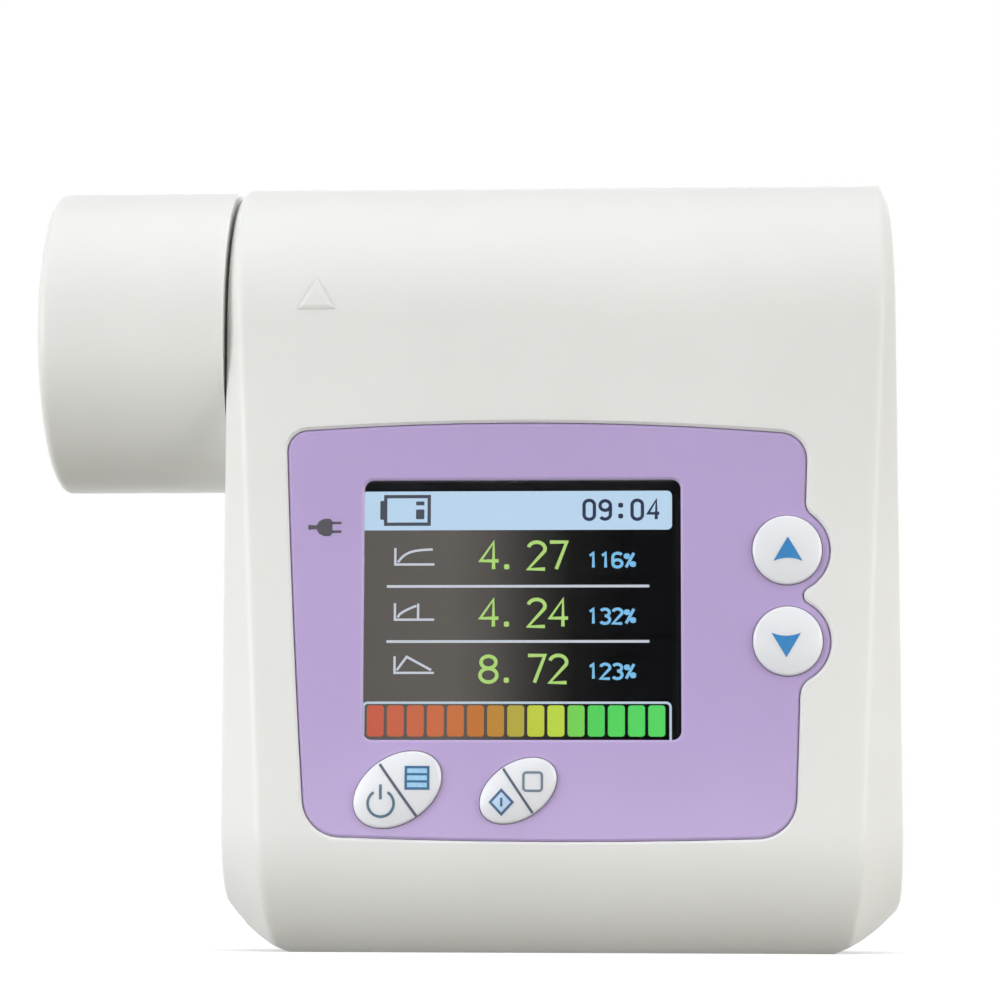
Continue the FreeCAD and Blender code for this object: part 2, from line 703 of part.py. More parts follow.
def board_screws():
    """Four small screws that hold the board on its posts."""
    head_y = BOARD_FRONT_Y + BOARD_THICK
    return Part.makeCompound([
        screw(x, z, head_y, 5.0, POST_PILOT_R - 0.02, 1.6, 0.9) for x, z in BOARD_POSTS
    ])


def fascia_panel():
    """The coloured front panel with its window, key holes and bevelled edge."""
    y = (FRONT_Y + PANEL_DEPTH, FRONT_Y + PANEL_DEPTH + PANEL_THICK)
    panel = panel_form(0, y)
    front = [e for e in panel.Edges if e.BoundBox.YMax < y[0] + TINY]
    panel = panel.makeChamfer(PANEL_BEVEL, front)
    opening = window_block(0, WINDOW_CORNER_R, (y[0] - 1, y[1] + 1))
    holes = [oval(key, KEY_GAP, (y[0] - 1, y[1] + 1)) for key in KEYS]
    panel = panel.cut([opening] + holes)
    soft = 0.25
    rim = [e for e in panel.Edges if e.BoundBox.YMax < y[0] + TINY and inside_window(e)]
    return panel.makeChamfer(soft, rim).removeSplitter()


def inside_window(edge):
    """Whether an edge borders the display opening."""
    b = edge.BoundBox
    in_x = WINDOW_X[0] - TINY < b.XMin and b.XMax < WINDOW_X[1] + TINY
    return in_x and WINDOW_Z[0] - TINY < b.ZMin and b.ZMax < WINDOW_Z[1] + TINY


def display_window():
    """The clear plate glued behind the panel's window."""
    front = FRONT_Y + PANEL_DEPTH + PANEL_THICK
    return window_block(LENS_MARGIN, WINDOW_CORNER_R, (front, front + LENS_THICK))


def frame_plate(x, z, border, y):
    """A flat frame with an even border."""
    outer = box(x, y, z)
    inner = box((x[0] + border, x[1] - border), (y[0] - 1, y[1] + 1), (z[0] + border, z[1] - border))
    return outer.cut(inner)


def display_gasket():
    """The thin foam frame that keeps dust out between window and display."""
    front = FRONT_Y + WALL
    x = (WINDOW_X[0] - 2.0, WINDOW_X[1] + 2.0)
    z = (WINDOW_Z[0] - 0.8, WINDOW_Z[1] + 2.0)
    outer = box(x, (front, front + GASKET_THICK), z)
    return outer.cut(window_block(0.2, WINDOW_CORNER_R, (front - 1, front + 1)))


def display_module():
    """The display: a tray that holds the glass, with the active area set back by a fine step."""
    front = FRONT_Y + WALL + GASKET_THICK
    block = box(DISPLAY_X, (front, front + DISPLAY_THICK), DISPLAY_Z)
    block = block.makeFillet(0.8, [e for e in block.Edges if e.BoundBox.YLength > 1])
    return block.cut(box(active_x(), (front - 1, front + 0.15), active_z()))


def active_x():
    """The active area's left and right limits; it meets the window's left edge."""
    return (WINDOW_X[0] - 0.3, WINDOW_X[0] - 0.3 + ACTIVE_WIDTH)


def active_z():
    """The active area's lower and upper limits; it meets the window's lower edge."""
    return (WINDOW_Z[0] - 0.1, WINDOW_Z[0] - 0.1 + ACTIVE_HEIGHT)


def display_glass():
    """The liquid crystal glass that fills the tray's step."""
    front = FRONT_Y + WALL + GASKET_THICK
    return box(active_x(), (front + 0.05, front + 0.15), active_z())


def main_board():
    """The circuit board with notches beside the upper screw bosses and holes for its screws."""
    y = (BOARD_FRONT_Y, BOARD_FRONT_Y + BOARD_THICK)
    board = box(BOARD_X, y, BOARD_Z)
    side, height = BOARD_NOTCH
    notches = [
        box((side, FAR), (y[0] - 1, y[1] + 1), (height, FAR)),
        box((-FAR, -side), (y[0] - 1, y[1] + 1), (height, FAR)),
    ]
    holes = [rod_y(x, z, 1.1, (y[0] - 1, y[1] + 1)) for x, z in BOARD_POSTS]
    return board.cut(notches + holes)


def board_chips():
    """The processor, the memory, the power chip and the crystal on the back of the board."""
    back = BOARD_FRONT_Y + BOARD_THICK
    processor = box((-6, 4), (back, back + 1.0), (24, 34))
    memory = box((9, 15), (back, back + 0.9), (26, 31))
    power_chip = box((-20, -16), (back, back + 0.9), (38, 42))
    crystal = box((-13, -9), (back, back + 1.1), (18, 20.5))
    return Part.makeCompound([processor, memory, power_chip, crystal])


def buzzer():
    """The round sounder on the front of the board, with its sound hole."""
    place = (14.0, 17.0)
    can = rod_y(*place, 4.5, (BOARD_FRONT_Y - 2.5, BOARD_FRONT_Y))
    rim = [e for e in can.Edges if e.BoundBox.YMax < BOARD_FRONT_Y - 2.4]
    return can.makeChamfer(0.4, rim).cut(rod_y(*place, 0.8, (BOARD_FRONT_Y - 3, BOARD_FRONT_Y - 1.5)))


def display_ribbon():
    """The flat ribbon that bends from the display's lower back round to its connector on the board."""
    thick = 0.15
    width = (-14.0, 6.0)
    module_back = FRONT_Y + WALL + GASKET_THICK + DISPLAY_THICK
    upper, lower = 49.0, 44.5
    bend_r = (BOARD_FRONT_Y - 1.0 - module_back) / 2
    bend_z = lower
    centre_y = module_back + bend_r

    def path_side(radius, x):
        start = Vector(x, centre_y - radius, upper)
        turn_start = Vector(x, centre_y - radius, bend_z)
        turn_mid = Vector(x, centre_y, bend_z - radius)
        turn_end = Vector(x, centre_y + radius, bend_z)
        end = Vector(x, centre_y + radius, upper - 1.5)
        bend = Part.Arc(turn_start, turn_mid, turn_end).toShape()
        return [Part.makeLine(start, turn_start), bend, Part.makeLine(turn_end, end)]

    outer = path_side(bend_r, width[0])
    inner = path_side(bend_r - thick, width[0])
    caps = [
        Part.makeLine(outer[0].firstVertex().Point, inner[0].firstVertex().Point),
        Part.makeLine(outer[-1].lastVertex().Point, inner[-1].lastVertex().Point),
    ]
    wire = Part.Wire(Part.__sortEdges__(outer + inner + caps))
    return Part.Face(wire).extrude(Vector(width[1] - width[0], 0, 0))


def ribbon_connector():
    """The low connector on the front of the board that takes the ribbon's end."""
    return box((-15.5, 7.5), (BOARD_FRONT_Y - 1.0, BOARD_FRONT_Y), (45.5, 49.5))


def battery_cell():
    """The flat rechargeable cell with soft edges."""
    length, thick, height = BATTERY_SIZE
    y = (BATTERY_BACK_Y - thick, BATTERY_BACK_Y)
    cell = box((-length / 2, length / 2), y, (BATTERY_Z, BATTERY_Z + height))
    return cell.makeFillet(1.6, [e for e in cell.Edges if e.BoundBox.ZLength > 10])


def battery_pad():
    """The foam strip between the cell and the tallest chips."""
    front = BOARD_FRONT_Y + BOARD_THICK + 1.0
    return box((-12.0, 12.0), (front, BATTERY_BACK_Y - BATTERY_SIZE[1]), (22.0, 36.0))


def charging_socket():
    """The metal shell of the charging socket with its tongue."""
    y = socket_y()
    x = (-HALF_WIDTH + WALL - 0.4, -HALF_WIDTH + WALL - 0.4 + SOCKET_DEPTH)
    shell = slot_x(SOCKET_WIDTH, SOCKET_THICK, x, y, SOCKET_Z)
    hollow = slot_x(SOCKET_WIDTH - 0.6, SOCKET_THICK - 0.6, (x[0] - 1, x[1] - 0.6), y, SOCKET_Z)
    tongue = box((x[0] + 0.8, x[1] - 0.3), (y - 0.3, y + 0.3), (SOCKET_Z - 2.0, SOCKET_Z + 2.0))
    return shell.cut(hollow).fuse(tongue).removeSplitter()


def charge_lamp():
    """The small lamp on the board that lights the charge sign."""
    x, z = LAMP_PLACE
    return box((x - 0.8, x + 0.8), (BOARD_FRONT_Y - 0.8, BOARD_FRONT_Y), (z - 0.4, z + 0.4))


def lamp_guide():
    """The clear rod that carries the lamp's light to the panel."""
    x, z = LAMP_PLACE
    front = FRONT_Y + PANEL_DEPTH + PANEL_THICK
    rod = rod_y(x, z, LAMP_GUIDE_R - 0.03, (front, BOARD_FRONT_Y - 0.8))
    flange = rod_y(x, z, LAMP_GUIDE_R + 0.5, (FRONT_Y + WALL, FRONT_Y + WALL + 0.6))
    return rod.fuse(flange).removeSplitter()


def sensor_cradle():
    """The dark half ring under the barrel that aims the light gates, with a foot on the front wall."""
    ring = ring_x(CRADLE_INNER_R, CRADLE_OUTER_R, CRADLE_X)
    below = box((CRADLE_X[0] - 1, CRADLE_X[1] + 1), (-FAR, FAR), (AXIS_Z - FAR, AXIS_Z - 3.0))
    half = ring.common(below)
    foot = box(CRADLE_X, (FRONT_Y + WALL, -8.0), (SADDLE_FOOT_Z, SADDLE_FOOT_Z + 2.4))
    foot = foot.cut(rod_x(CRADLE_INNER_R + 0.5, (CRADLE_X[0] - 1, CRADLE_X[1] + 1)))
    return fused([half, foot]).cut(gate_pockets(0.03))


def gate_places():
    """Stations along the barrel of the three light gates."""
    span = CRADLE_X[1] - CRADLE_X[0]
    return [CRADLE_X[0] + span * share for share in (0.2, 0.5, 0.8)]


def gate_part(x, angle, grow):
    """One lamp or receiver of a light gate, aimed at the flow axis."""
    depth = CRADLE_OUTER_R + 0.2 - CRADLE_INNER_R
    part = Part.makeCylinder(1.0 + grow, depth, Vector(x, 0, AXIS_Z + CRADLE_INNER_R + 0.05))
    return turned(part, angle)


def gate_pockets(grow):
    """Pockets for both rows of light-gate parts."""
    return [gate_part(x, angle, grow) for x in gate_places() for angle in (GATE_ANGLE, -GATE_ANGLE)]


def gate_row(angle):
    """A row of three light-gate parts on one side of the barrel."""
    return Part.makeCompound([gate_part(x, angle, 0) for x in gate_places()])


# Flow head

def mouth_collar():
    """The tube that the mouthpiece goes into, with its neck and bayonet lugs."""
    start = COLLAR_END_X
    end = -wall_x(AXIS_Z - COLLAR_R) - COLLAR_GAP
    tube = rod_x(COLLAR_R, (start, end))
    rim = loop_edges(tube, start)
    tube = tube.makeFillet(COLLAR_RIM_ROUND, rim)
    neck = rod_x(BARREL_R, (end - 1.0, NECK_END_X))
    lug_x = (-HALF_WIDTH + WALL + 0.1, -HALF_WIDTH + WALL + 0.1 + LUG_THICK)
    step = 360 / LUG_COUNT
    lugs = [sector_x(BARREL_R - 0.5, LUG_R, lug_x, n * step, LUG_ANGLE) for n in range(LUG_COUNT)]
    body = fused([tube, neck] + lugs)
    mouth = rod_x(MOUTH_R, (start - 1, start + MOUTH_DEPTH))
    lead_in = Part.makeCone(MOUTH_R + 0.9, MOUTH_R, 0.9, Vector(start - TINY, 0, AXIS_Z), Vector(1, 0, 0))
    spigot_room = rod_x(SPIGOT_R + 0.03, (start + MOUTH_DEPTH + 0.6, NECK_END_X + 1))
    passage = rod_x(BARREL_BORE_R, (start, NECK_END_X + 1))
    return body.cut([mouth, lead_in, spigot_room, passage]).removeSplitter()


def turbine_barrel():
    """The clear tube that carries the flow, with a spigot in the collar and a groove for the seal."""
    tube = rod_x(BARREL_R, (NECK_END_X, BARREL_END_X))
    spigot = rod_x(SPIGOT_R, (COLLAR_END_X + MOUTH_DEPTH + 0.6, NECK_END_X + 1))
    bore = rod_x(BARREL_BORE_R, (COLLAR_END_X, BARREL_END_X + 1))
    groove = ring_x(seal_outer_r() - 2 * SEAL_SECTION_R, BARREL_R + 1, (SEAL_X - 0.6, SEAL_X + 0.6))
    return fused([tube, spigot]).cut([bore, groove]).removeSplitter()


def seal_outer_r():
    """The squeezed seal stands a little proud of the barrel, just short of the port."""
    return PORT_R - SEAL_SQUEEZE_GAP


def barrel_seal():
    """The rubber ring in the barrel's groove, bevelled on its outer edges and drawn at its squeezed size."""
    outer = seal_outer_r()
    half = SEAL_SECTION_R
    ring = ring_x(outer - 2 * half, outer, (SEAL_X - half, SEAL_X + half))
    rims = [e for e in ring.Edges if e.BoundBox.XLength < TINY and e.BoundBox.ZLength > 2 * BARREL_R]
    return ring.makeChamfer(0.3, rims)


def swirl_blade(start_x, hand):
    """One twisted blade from the hub to the rim."""
    stations = 5
    wires = []
    for n in range(stations):
        share = n / (stations - 1)
        turn = hand * SWIRL_TWIST * share
        half = BLADE_THICK / 2
        x = start_x + SWIRL_LENGTH * share
        root, tip = SWIRL_HUB_R - 0.6, BARREL_BORE_R - 0.4
        corners = [(-half, root), (half, root), (half, tip), (-half, tip)]
        points = [Vector(x, py, AXIS_Z + pz) for py, pz in corners]
        wire = Part.makePolygon(points + points[:1])
        wire.rotate(Vector(0, 0, AXIS_Z), Vector(1, 0, 0), turn)
        wires.append(wire)
    return Part.makeLoft(wires, True, False)


def swirler(start_x, hand, bearing_x):
    """A fixed swirl plate: rim, hub with a domed nose and six twisted blades, with a seat for its bearing."""
    x = (start_x, start_x + SWIRL_LENGTH)
    rim = ring_x(BARREL_BORE_R - 0.75, BARREL_BORE_R - 0.02, x)
    hub = rod_x(SWIRL_HUB_R, x)
    nose_x = x[0] if hand > 0 else x[1]
    nose = Part.makeSphere(SWIRL_HUB_R, Vector(nose_x, 0, AXIS_Z))
    first = swirl_blade(start_x, hand)
    step = 360 / SWIRL_BLADES
    blades = [turned(first, n * step) for n in range(SWIRL_BLADES)]
    whole = fused([rim, hub, nose] + blades)
    whole = whole.common(rod_x(BARREL_BORE_R - 0.02, (x[0] - SWIRL_HUB_R, x[1] + SWIRL_HUB_R)))
    return whole.cut(rod_x(BEARING_R, (bearing_x, bearing_x + BEARING_LENGTH))).removeSplitter()


def bearing(x, open_side):
    """A jewel cup that takes one end of the rotor pin."""
    cup = rod_x(BEARING_R, (x, x + BEARING_LENGTH))
    depth = 1.1
    hole = (x - 1, x + depth) if open_side < 0 else (x + BEARING_LENGTH - depth, x + BEARING_LENGTH + 1)
    return cup.cut(rod_x(PIN_R + 0.05, hole))


def inlet_bearing_x():
    """Where the inlet bearing starts, flush with the inlet hub."""
    return INLET_SWIRL_X + SWIRL_LENGTH - BEARING_LENGTH


def vane_x():
    """The rotor vane's limits, midway between the swirl plates."""
    middle = (INLET_SWIRL_X + SWIRL_LENGTH + OUTLET_SWIRL_X) / 2
    return (middle - VANE_LENGTH / 2, middle + VANE_LENGTH / 2)


def rotor_vane():
    """The flat two-winged vane with its slim hub."""
    x = vane_x()
    wings = box(x, (-VANE_THICK / 2, VANE_THICK / 2), (AXIS_Z - VANE_R, AXIS_Z + VANE_R))
    wings = wings.makeFillet(1.5, [e for e in wings.Edges if e.BoundBox.YLength > VANE_THICK / 2])
    hub = rod_x(0.9, x)
    return fused([wings, hub]).cut(rod_x(PIN_R, (x[0] - 1, x[1] + 1)))


def rotor_pin():
    """The steel pin that the vane turns on, with fine tips in the bearings."""
    tip = 0.1
    start = inlet_bearing_x() + BEARING_LENGTH - 1.1 + tip
    end = OUTLET_SWIRL_X + 1.1 - tip
    return rod_x(PIN_R, (start, end))


def write(nodes):
    """Each node as one STEP file."""
    os.makedirs("parts", exist_ok=True)
    for name, shape in nodes.items():
        solids = shape.Solids
        volume = sum(s.Volume for s in solids)
        print(name, len(solids), shape.isValid(), round(volume, 1))
        whole = solids[0] if len(solids) == 1 else Part.makeCompound(solids)
        whole.exportStep("parts/" + name + ".step")


def build():
    """Every separate piece of the spirometer by name."""
    shell = shell_pieces().cut(outlet_funnel())
    nodes = {
        "front_casing": front_casing(shell),
        "rear_casing": rear_casing(shell),
        "case_screws": case_screws(),
        "fascia_panel": fascia_panel(),
        "display_window": display_window(),
        "display_gasket": display_gasket(),
        "display_module": display_module(),
        "display_glass": display_glass(),
        "display_ribbon": display_ribbon(),
        "ribbon_connector": ribbon_connector(),
        "main_board": main_board(),
        "board_chips": board_chips(),
        "board_screws": board_screws(),
        "switch_bases": switch_bases(),
        "buzzer": buzzer(),
        "battery_cell": battery_cell(),
        "battery_pad": battery_pad(),
        "charging_socket": charging_socket(),
        "charge_lamp": charge_lamp(),
        "lamp_guide": lamp_guide(),
        "sensor_cradle": sensor_cradle(),
        "gate_lamps": gate_row(GATE_ANGLE),
        "gate_receivers": gate_row(-GATE_ANGLE),
        "mouth_collar": mouth_collar(),
        "turbine_barrel": turbine_barrel(),
        "barrel_seal": barrel_seal(),
        "inlet_swirler": swirler(INLET_SWIRL_X, 1, inlet_bearing_x()),
        "outlet_swirler": swirler(OUTLET_SWIRL_X, -1, OUTLET_SWIRL_X),
        "inlet_bearing": bearing(inlet_bearing_x(), 1),
        "outlet_bearing": bearing(OUTLET_SWIRL_X, -1),
        "rotor_vane": rotor_vane(),
        "rotor_pin": rotor_pin(),
    }
    for key in KEYS:
        nodes[key + "_keycap"] = keycap(key)
        nodes[key + "_plunger"] = switch_plunger(key)
    return nodes


write(build())
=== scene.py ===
# The dressed spirometer: a material for every solid, the display's picture, the printed signs, the small
# pieces that the solids leave out, the camera and the studio.
import bmesh
import bpy
import json
import math
from mathutils import Matrix, Vector


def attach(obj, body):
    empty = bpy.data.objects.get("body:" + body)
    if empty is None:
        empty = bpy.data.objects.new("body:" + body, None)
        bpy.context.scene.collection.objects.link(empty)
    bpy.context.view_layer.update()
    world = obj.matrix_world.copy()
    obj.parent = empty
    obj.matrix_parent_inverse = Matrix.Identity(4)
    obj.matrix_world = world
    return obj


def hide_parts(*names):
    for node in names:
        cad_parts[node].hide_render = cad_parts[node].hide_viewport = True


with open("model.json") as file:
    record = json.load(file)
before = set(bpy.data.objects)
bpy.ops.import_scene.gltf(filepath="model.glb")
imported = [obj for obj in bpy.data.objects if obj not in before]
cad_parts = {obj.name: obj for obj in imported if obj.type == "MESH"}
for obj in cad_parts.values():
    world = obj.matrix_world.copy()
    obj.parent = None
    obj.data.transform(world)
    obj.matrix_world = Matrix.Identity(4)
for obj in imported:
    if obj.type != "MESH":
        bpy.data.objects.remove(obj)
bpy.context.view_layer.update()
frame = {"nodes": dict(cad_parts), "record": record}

MM = 0.001
AXIS_Z = 71.0
HEAD_R = 18.0
PANEL_FACE_Y = -17.8
KEY_EDGE_Y = -18.25
KEY_CROWN = 0.65
DISPLAY_FACE_Y = -15.55
INK_STEP = 0.02
LINE_LIFT = 0.024
FILL_LIFT = 0.012

# Keys: centre x, centre z, half length, half width, lean in degrees
KEYS = {
    "up": (25.3, 44.4, 3.85, 3.85, 0.0),
    "down": (25.3, 34.3, 3.85, 3.85, 0.0),
    "power": (-17.8, 17.9, 5.35, 3.65, 34.0),
    "start": (-4.45, 17.8, 4.7, 3.05, 34.0),
}


# Material building blocks

def map_range(tree, value, start, end, low, high):
    """A node that carries a value from one range to another."""
    made = tree.nodes.new("ShaderNodeMapRange")
    made.inputs["From Min"].default_value = start
    made.inputs["From Max"].default_value = end
    made.inputs["To Min"].default_value = low
    made.inputs["To Max"].default_value = high
    tree.links.new(value, made.inputs["Value"])
    return made


class Shader:
    """A material's node tree with short ways to add what moulded and printed surfaces need."""

    def __init__(self, name):
        self.material = bpy.data.materials.new(name)
        self.material.use_nodes = True
        self.tree = self.material.node_tree
        self.surface = self.tree.nodes["Principled BSDF"]
        self.place = self.tree.nodes.new("ShaderNodeTexCoord").outputs["Object"]

    def node(self, kind, **inputs):
        made = self.tree.nodes.new(kind)
        for key, value in inputs.items():
            made.inputs[key.replace("_", " ")].default_value = value
        return made

    def link(self, start, end):
        self.tree.links.new(start, end)

    def noise(self, scale, detail=3.0, roughness=0.55):
        made = self.node("ShaderNodeTexNoise", Scale=scale, Detail=detail, Roughness=roughness)
        self.link(self.place, made.inputs["Vector"])
        return made.outputs["Fac"]

    def ramp(self, fac, stops):
        made = self.tree.nodes.new("ShaderNodeValToRGB")
        while len(made.color_ramp.elements) < len(stops):
            made.color_ramp.elements.new(0.5)
        for element, (at, colour) in zip(made.color_ramp.elements, stops):
            element.position = at
            element.color = (*colour, 1.0)
        self.link(fac, made.inputs["Fac"])
        return made.outputs["Color"]

    def base_colour(self, fac, stops):
        self.link(self.ramp(fac, stops), self.surface.inputs["Base Color"])

    def span(self, fac, low, high, start=0.3, end=0.7):
        return map_range(self.tree, fac, start, end, low, high).outputs["Result"]

    def bump(self, fac, strength, distance):
        made = self.tree.nodes.new("ShaderNodeBump")
        made.inputs["Strength"].default_value = strength
        made.inputs["Distance"].default_value = distance
        self.link(fac, made.inputs["Height"])
        self.link(made.outputs["Normal"], self.surface.inputs["Normal"])

    def set(self, **values):
        for key, value in values.items():
            self.surface.inputs[key.replace("_", " ")].default_value = value


def shade(colour, factor):
    """A colour made lighter or darker."""
    return tuple(min(1.0, c * factor) for c in colour)


# In metres: the heights of the surface grain, and how far light spreads inside pale plastic
GRAIN_HEIGHT = 0.00002
TOOL_MARK_HEIGHT = 0.00001
SCATTER_SCALE = 0.0012
# Each colour's share of that spread
SCATTER_RADIUS = (1.0, 0.95, 0.85)


def moulded(name, colour, rough=0.42, grain=2600.0, depth=0.15, drift=0.02,
            specular=0.5, coat=0.0, scatter=0.0):
    """Injection-moulded plastic: a fine grain, faint flow marks, an uneven gloss and some inner scatter."""
    s = Shader(name)
    s.base_colour(s.noise(45.0, 2.0), [(0.3, shade(colour, 1 - drift)), (0.7, shade(colour, 1 + drift))])
    s.link(s.span(s.noise(grain * 0.25), rough - 0.05, rough + 0.06), s.surface.inputs["Roughness"])
    s.bump(s.noise(grain), depth, GRAIN_HEIGHT)
    s.set(Specular_IOR_Level=specular, Coat_Weight=coat, Coat_Roughness=0.08)
    if scatter:
        s.set(Subsurface_Weight=scatter, Subsurface_Radius=SCATTER_RADIUS, Subsurface_Scale=SCATTER_SCALE)
    return s.material


def metal(name, colour, rough=0.3, scale=2400.0, stretch=(1.0, 1.0, 1.0)):
    """Plated or drawn metal with fine tool marks."""
    s = Shader(name)
    mapped = s.tree.nodes.new("ShaderNodeMapping")
    mapped.inputs["Scale"].default_value = stretch
    s.link(s.place, mapped.inputs["Vector"])
    marks = s.node("ShaderNodeTexNoise", Scale=scale, Detail=4.0)
    s.link(mapped.outputs["Vector"], marks.inputs["Vector"])
    s.base_colour(marks.outputs["Fac"], [(0.3, shade(colour, 0.92)), (0.7, shade(colour, 1.06))])
    s.link(s.span(marks.outputs["Fac"], rough - 0.08, rough + 0.1), s.surface.inputs["Roughness"])
    s.bump(marks.outputs["Fac"], 0.2, TOOL_MARK_HEIGHT)
    s.set(Metallic=1.0)
    return s.material


def clear(name, colour, rough, transmission=1.0, ior=1.45, specular=0.5):
    """Clear moulded plastic or glass with faint ripples in its polish."""
    s = Shader(name)
    ripple = s.noise(300.0, 2.0)
    s.base_colour(ripple, [(0.3, shade(colour, 0.985)), (0.7, colour)])
    s.link(s.span(ripple, max(0.0, rough - 0.01), rough + 0.015), s.surface.inputs["Roughness"])
    s.bump(ripple, 0.04, GRAIN_HEIGHT)
    s.set(Transmission_Weight=transmission, IOR=ior, Specular_IOR_Level=specular)
    return s.material


def soft(name, colour, rough, scale, depth, size):
    """Foam or rubber with a cellular surface."""
    s = Shader(name)
    cells = s.node("ShaderNodeTexVoronoi", Scale=scale)
    s.link(s.place, cells.inputs["Vector"])
    fac = cells.outputs["Distance"]
    s.base_colour(fac, [(0.0, shade(colour, 0.7)), (0.6, shade(colour, 1.2))])
    s.link(s.span(fac, rough - 0.06, rough + 0.06, 0.0, 0.6), s.surface.inputs["Roughness"])
    s.bump(fac, depth, size)
    return s.material


def laminate(name, mask, copper):
    """Circuit board: solder mask with traces showing faintly under it."""
    s = Shader(name)
    bricks = s.node("ShaderNodeTexBrick", Scale=260.0, Mortar_Size=0.06)
    bricks.inputs["Color1"].default_value = (*mask, 1.0)
    bricks.inputs["Color2"].default_value = (*shade(mask, 1.35), 1.0)
    bricks.inputs["Mortar"].default_value = (*copper, 1.0)
    mapped = s.tree.nodes.new("ShaderNodeMapping")
    mapped.inputs["Rotation"].default_value = (math.radians(90), 0.0, 0.0)
    s.link(s.place, mapped.inputs["Vector"])
    s.link(mapped.outputs["Vector"], bricks.inputs["Vector"])
    s.link(bricks.outputs["Color"], s.surface.inputs["Base Color"])
    s.link(s.span(s.noise(1500.0), 0.3, 0.42), s.surface.inputs["Roughness"])
    s.bump(bricks.outputs["Fac"], 0.2, GRAIN_HEIGHT)
    return s.material


def printed(name, colour, rough=0.4):
    """Pad-printed ink: dense, with a faint mottle."""
    s = Shader(name)
    mottle = s.noise(1800.0, 2.0)
    s.base_colour(mottle, [(0.25, shade(colour, 0.9)), (0.75, shade(colour, 1.1))])
    s.link(s.span(mottle, rough - 0.05, rough + 0.08), s.surface.inputs["Roughness"])
    return s.material


def glowing(name, colour, strength=1.0, drift=0.05):
    """Lit display cells: an even glow with a fine cell structure."""
    s = Shader(name)
    cells = s.node("ShaderNodeTexVoronoi", Scale=4600.0)
    s.link(s.place, cells.inputs["Vector"])
    stops = [(0.0, shade(colour, 1 + drift)), (0.8, shade(colour, 1 - drift))]
    s.link(s.ramp(cells.outputs["Distance"], stops), s.surface.inputs["Emission Color"])
    s.set(Base_Color=(0.01, 0.01, 0.01, 1.0), Roughness=0.6, Specular_IOR_Level=0.1)
    s.set(Emission_Strength=strength)
    return s.material


WHITE = (0.80, 0.80, 0.775)
LILAC = (0.508, 0.394, 0.68)
KEY_WHITE = (0.81, 0.82, 0.85)
INK_ARROW = (0.035, 0.225, 0.52)
INK_GREY = (0.075, 0.070, 0.085)
INK_SLATE = (0.085, 0.105, 0.145)
INK_RING = (0.085, 0.16, 0.21)
INK_LIST = (0.045, 0.145, 0.28)
INK_DIAMOND = (0.065, 0.125, 0.245)
INK_SQUARE = (0.165, 0.215, 0.275)
INK_SKY = (0.36, 0.64, 0.88)
INK_PALE = (0.50, 0.67, 0.88)

materials = {
    "casing_white": moulded("casing_plastic", WHITE, rough=0.44, scatter=0.4),
    "collar_white": moulded("collar_plastic", shade(WHITE, 1.01), rough=0.4, scatter=0.4),
    "fascia_lilac": moulded("fascia_plastic", LILAC, rough=0.36, depth=0.08, drift=0.025,
                            coat=0.8, scatter=0.3),
    "keycap_white": moulded("keycap_plastic", KEY_WHITE, rough=0.34, depth=0.05, coat=0.08, scatter=0.4),
    "window_clear": clear("window_plate", (0.97, 0.98, 1.0), 0.015),
    "barrel_clear": clear("barrel_plastic", (0.90, 0.95, 0.98), 0.06),
    "swirler_clear": moulded("swirler_plastic", (0.66, 0.74, 0.80), rough=0.25, depth=0.05),
    "foam_black": soft("gasket_foam", (0.008, 0.008, 0.008), 0.9, 2500.0, 0.6, 0.0001),
    "display_tray": moulded("tray_plastic", (0.008, 0.008, 0.009), rough=0.6, specular=0.15),
    "display_image": moulded("display_cells", (0.003, 0.003, 0.004), rough=0.4, depth=0.02, specular=0.1),
    "ribbon_amber": moulded("ribbon_film", (0.42, 0.19, 0.04), rough=0.3, depth=0.05),
    "connector_beige": moulded("connector_plastic", (0.55, 0.49, 0.38), rough=0.5),
    "board_green": laminate("board_laminate", (0.012, 0.08, 0.035), (0.03, 0.13, 0.05)),
    "chip_black": moulded("chip_resin", (0.018, 0.018, 0.02), rough=0.55, grain=5200.0, depth=0.3),
    "switch_black": moulded("switch_plastic", (0.02, 0.02, 0.02), rough=0.5),
    "plunger_grey": moulded("plunger_plastic", (0.13, 0.13, 0.135), rough=0.45),
    "screw_steel": metal("screw_plating", (0.60, 0.59, 0.57), 0.32),
    "battery_silver": metal("battery_pouch", (0.66, 0.68, 0.70), 0.38, 700.0),
    "socket_steel": metal("socket_shell", (0.62, 0.62, 0.63), 0.26, 3000.0, (0.2, 1.0, 1.0)),
    "lamp_body": moulded("lamp_resin", (0.75, 0.68, 0.45), rough=0.3),
    "guide_clear": clear("guide_rod", (0.95, 0.96, 0.97), 0.04),
    "cradle_black": moulded("cradle_plastic", (0.02, 0.02, 0.022), rough=0.55),
    "gate_dark": moulded("receiver_resin", (0.03, 0.012, 0.04), rough=0.2, depth=0.03),
    "gate_clear": moulded("emitter_resin", (0.60, 0.65, 0.70), rough=0.2, depth=0.03),
    "seal_rubber": soft("seal_rubber", (0.03, 0.03, 0.03), 0.7, 3500.0, 0.25, 0.00003),
    "bearing_jewel": moulded("bearing_jewel", (0.30, 0.01, 0.03), rough=0.12, depth=0.0),
    "vane_dark": moulded("vane_film", (0.04, 0.04, 0.045), rough=0.4),
    "pin_steel": metal("pin_polish", (0.68, 0.68, 0.69), 0.15, 5000.0, (0.1, 1.0, 1.0)),
}

slot_of = {entry["node"]: entry["material_slot"] for entry in frame["record"]["subparts"]}
for node, obj in frame["nodes"].items():
    obj.data.materials.clear()
    obj.data.materials.append(materials[slot_of[node]])


# Flat and relief pieces

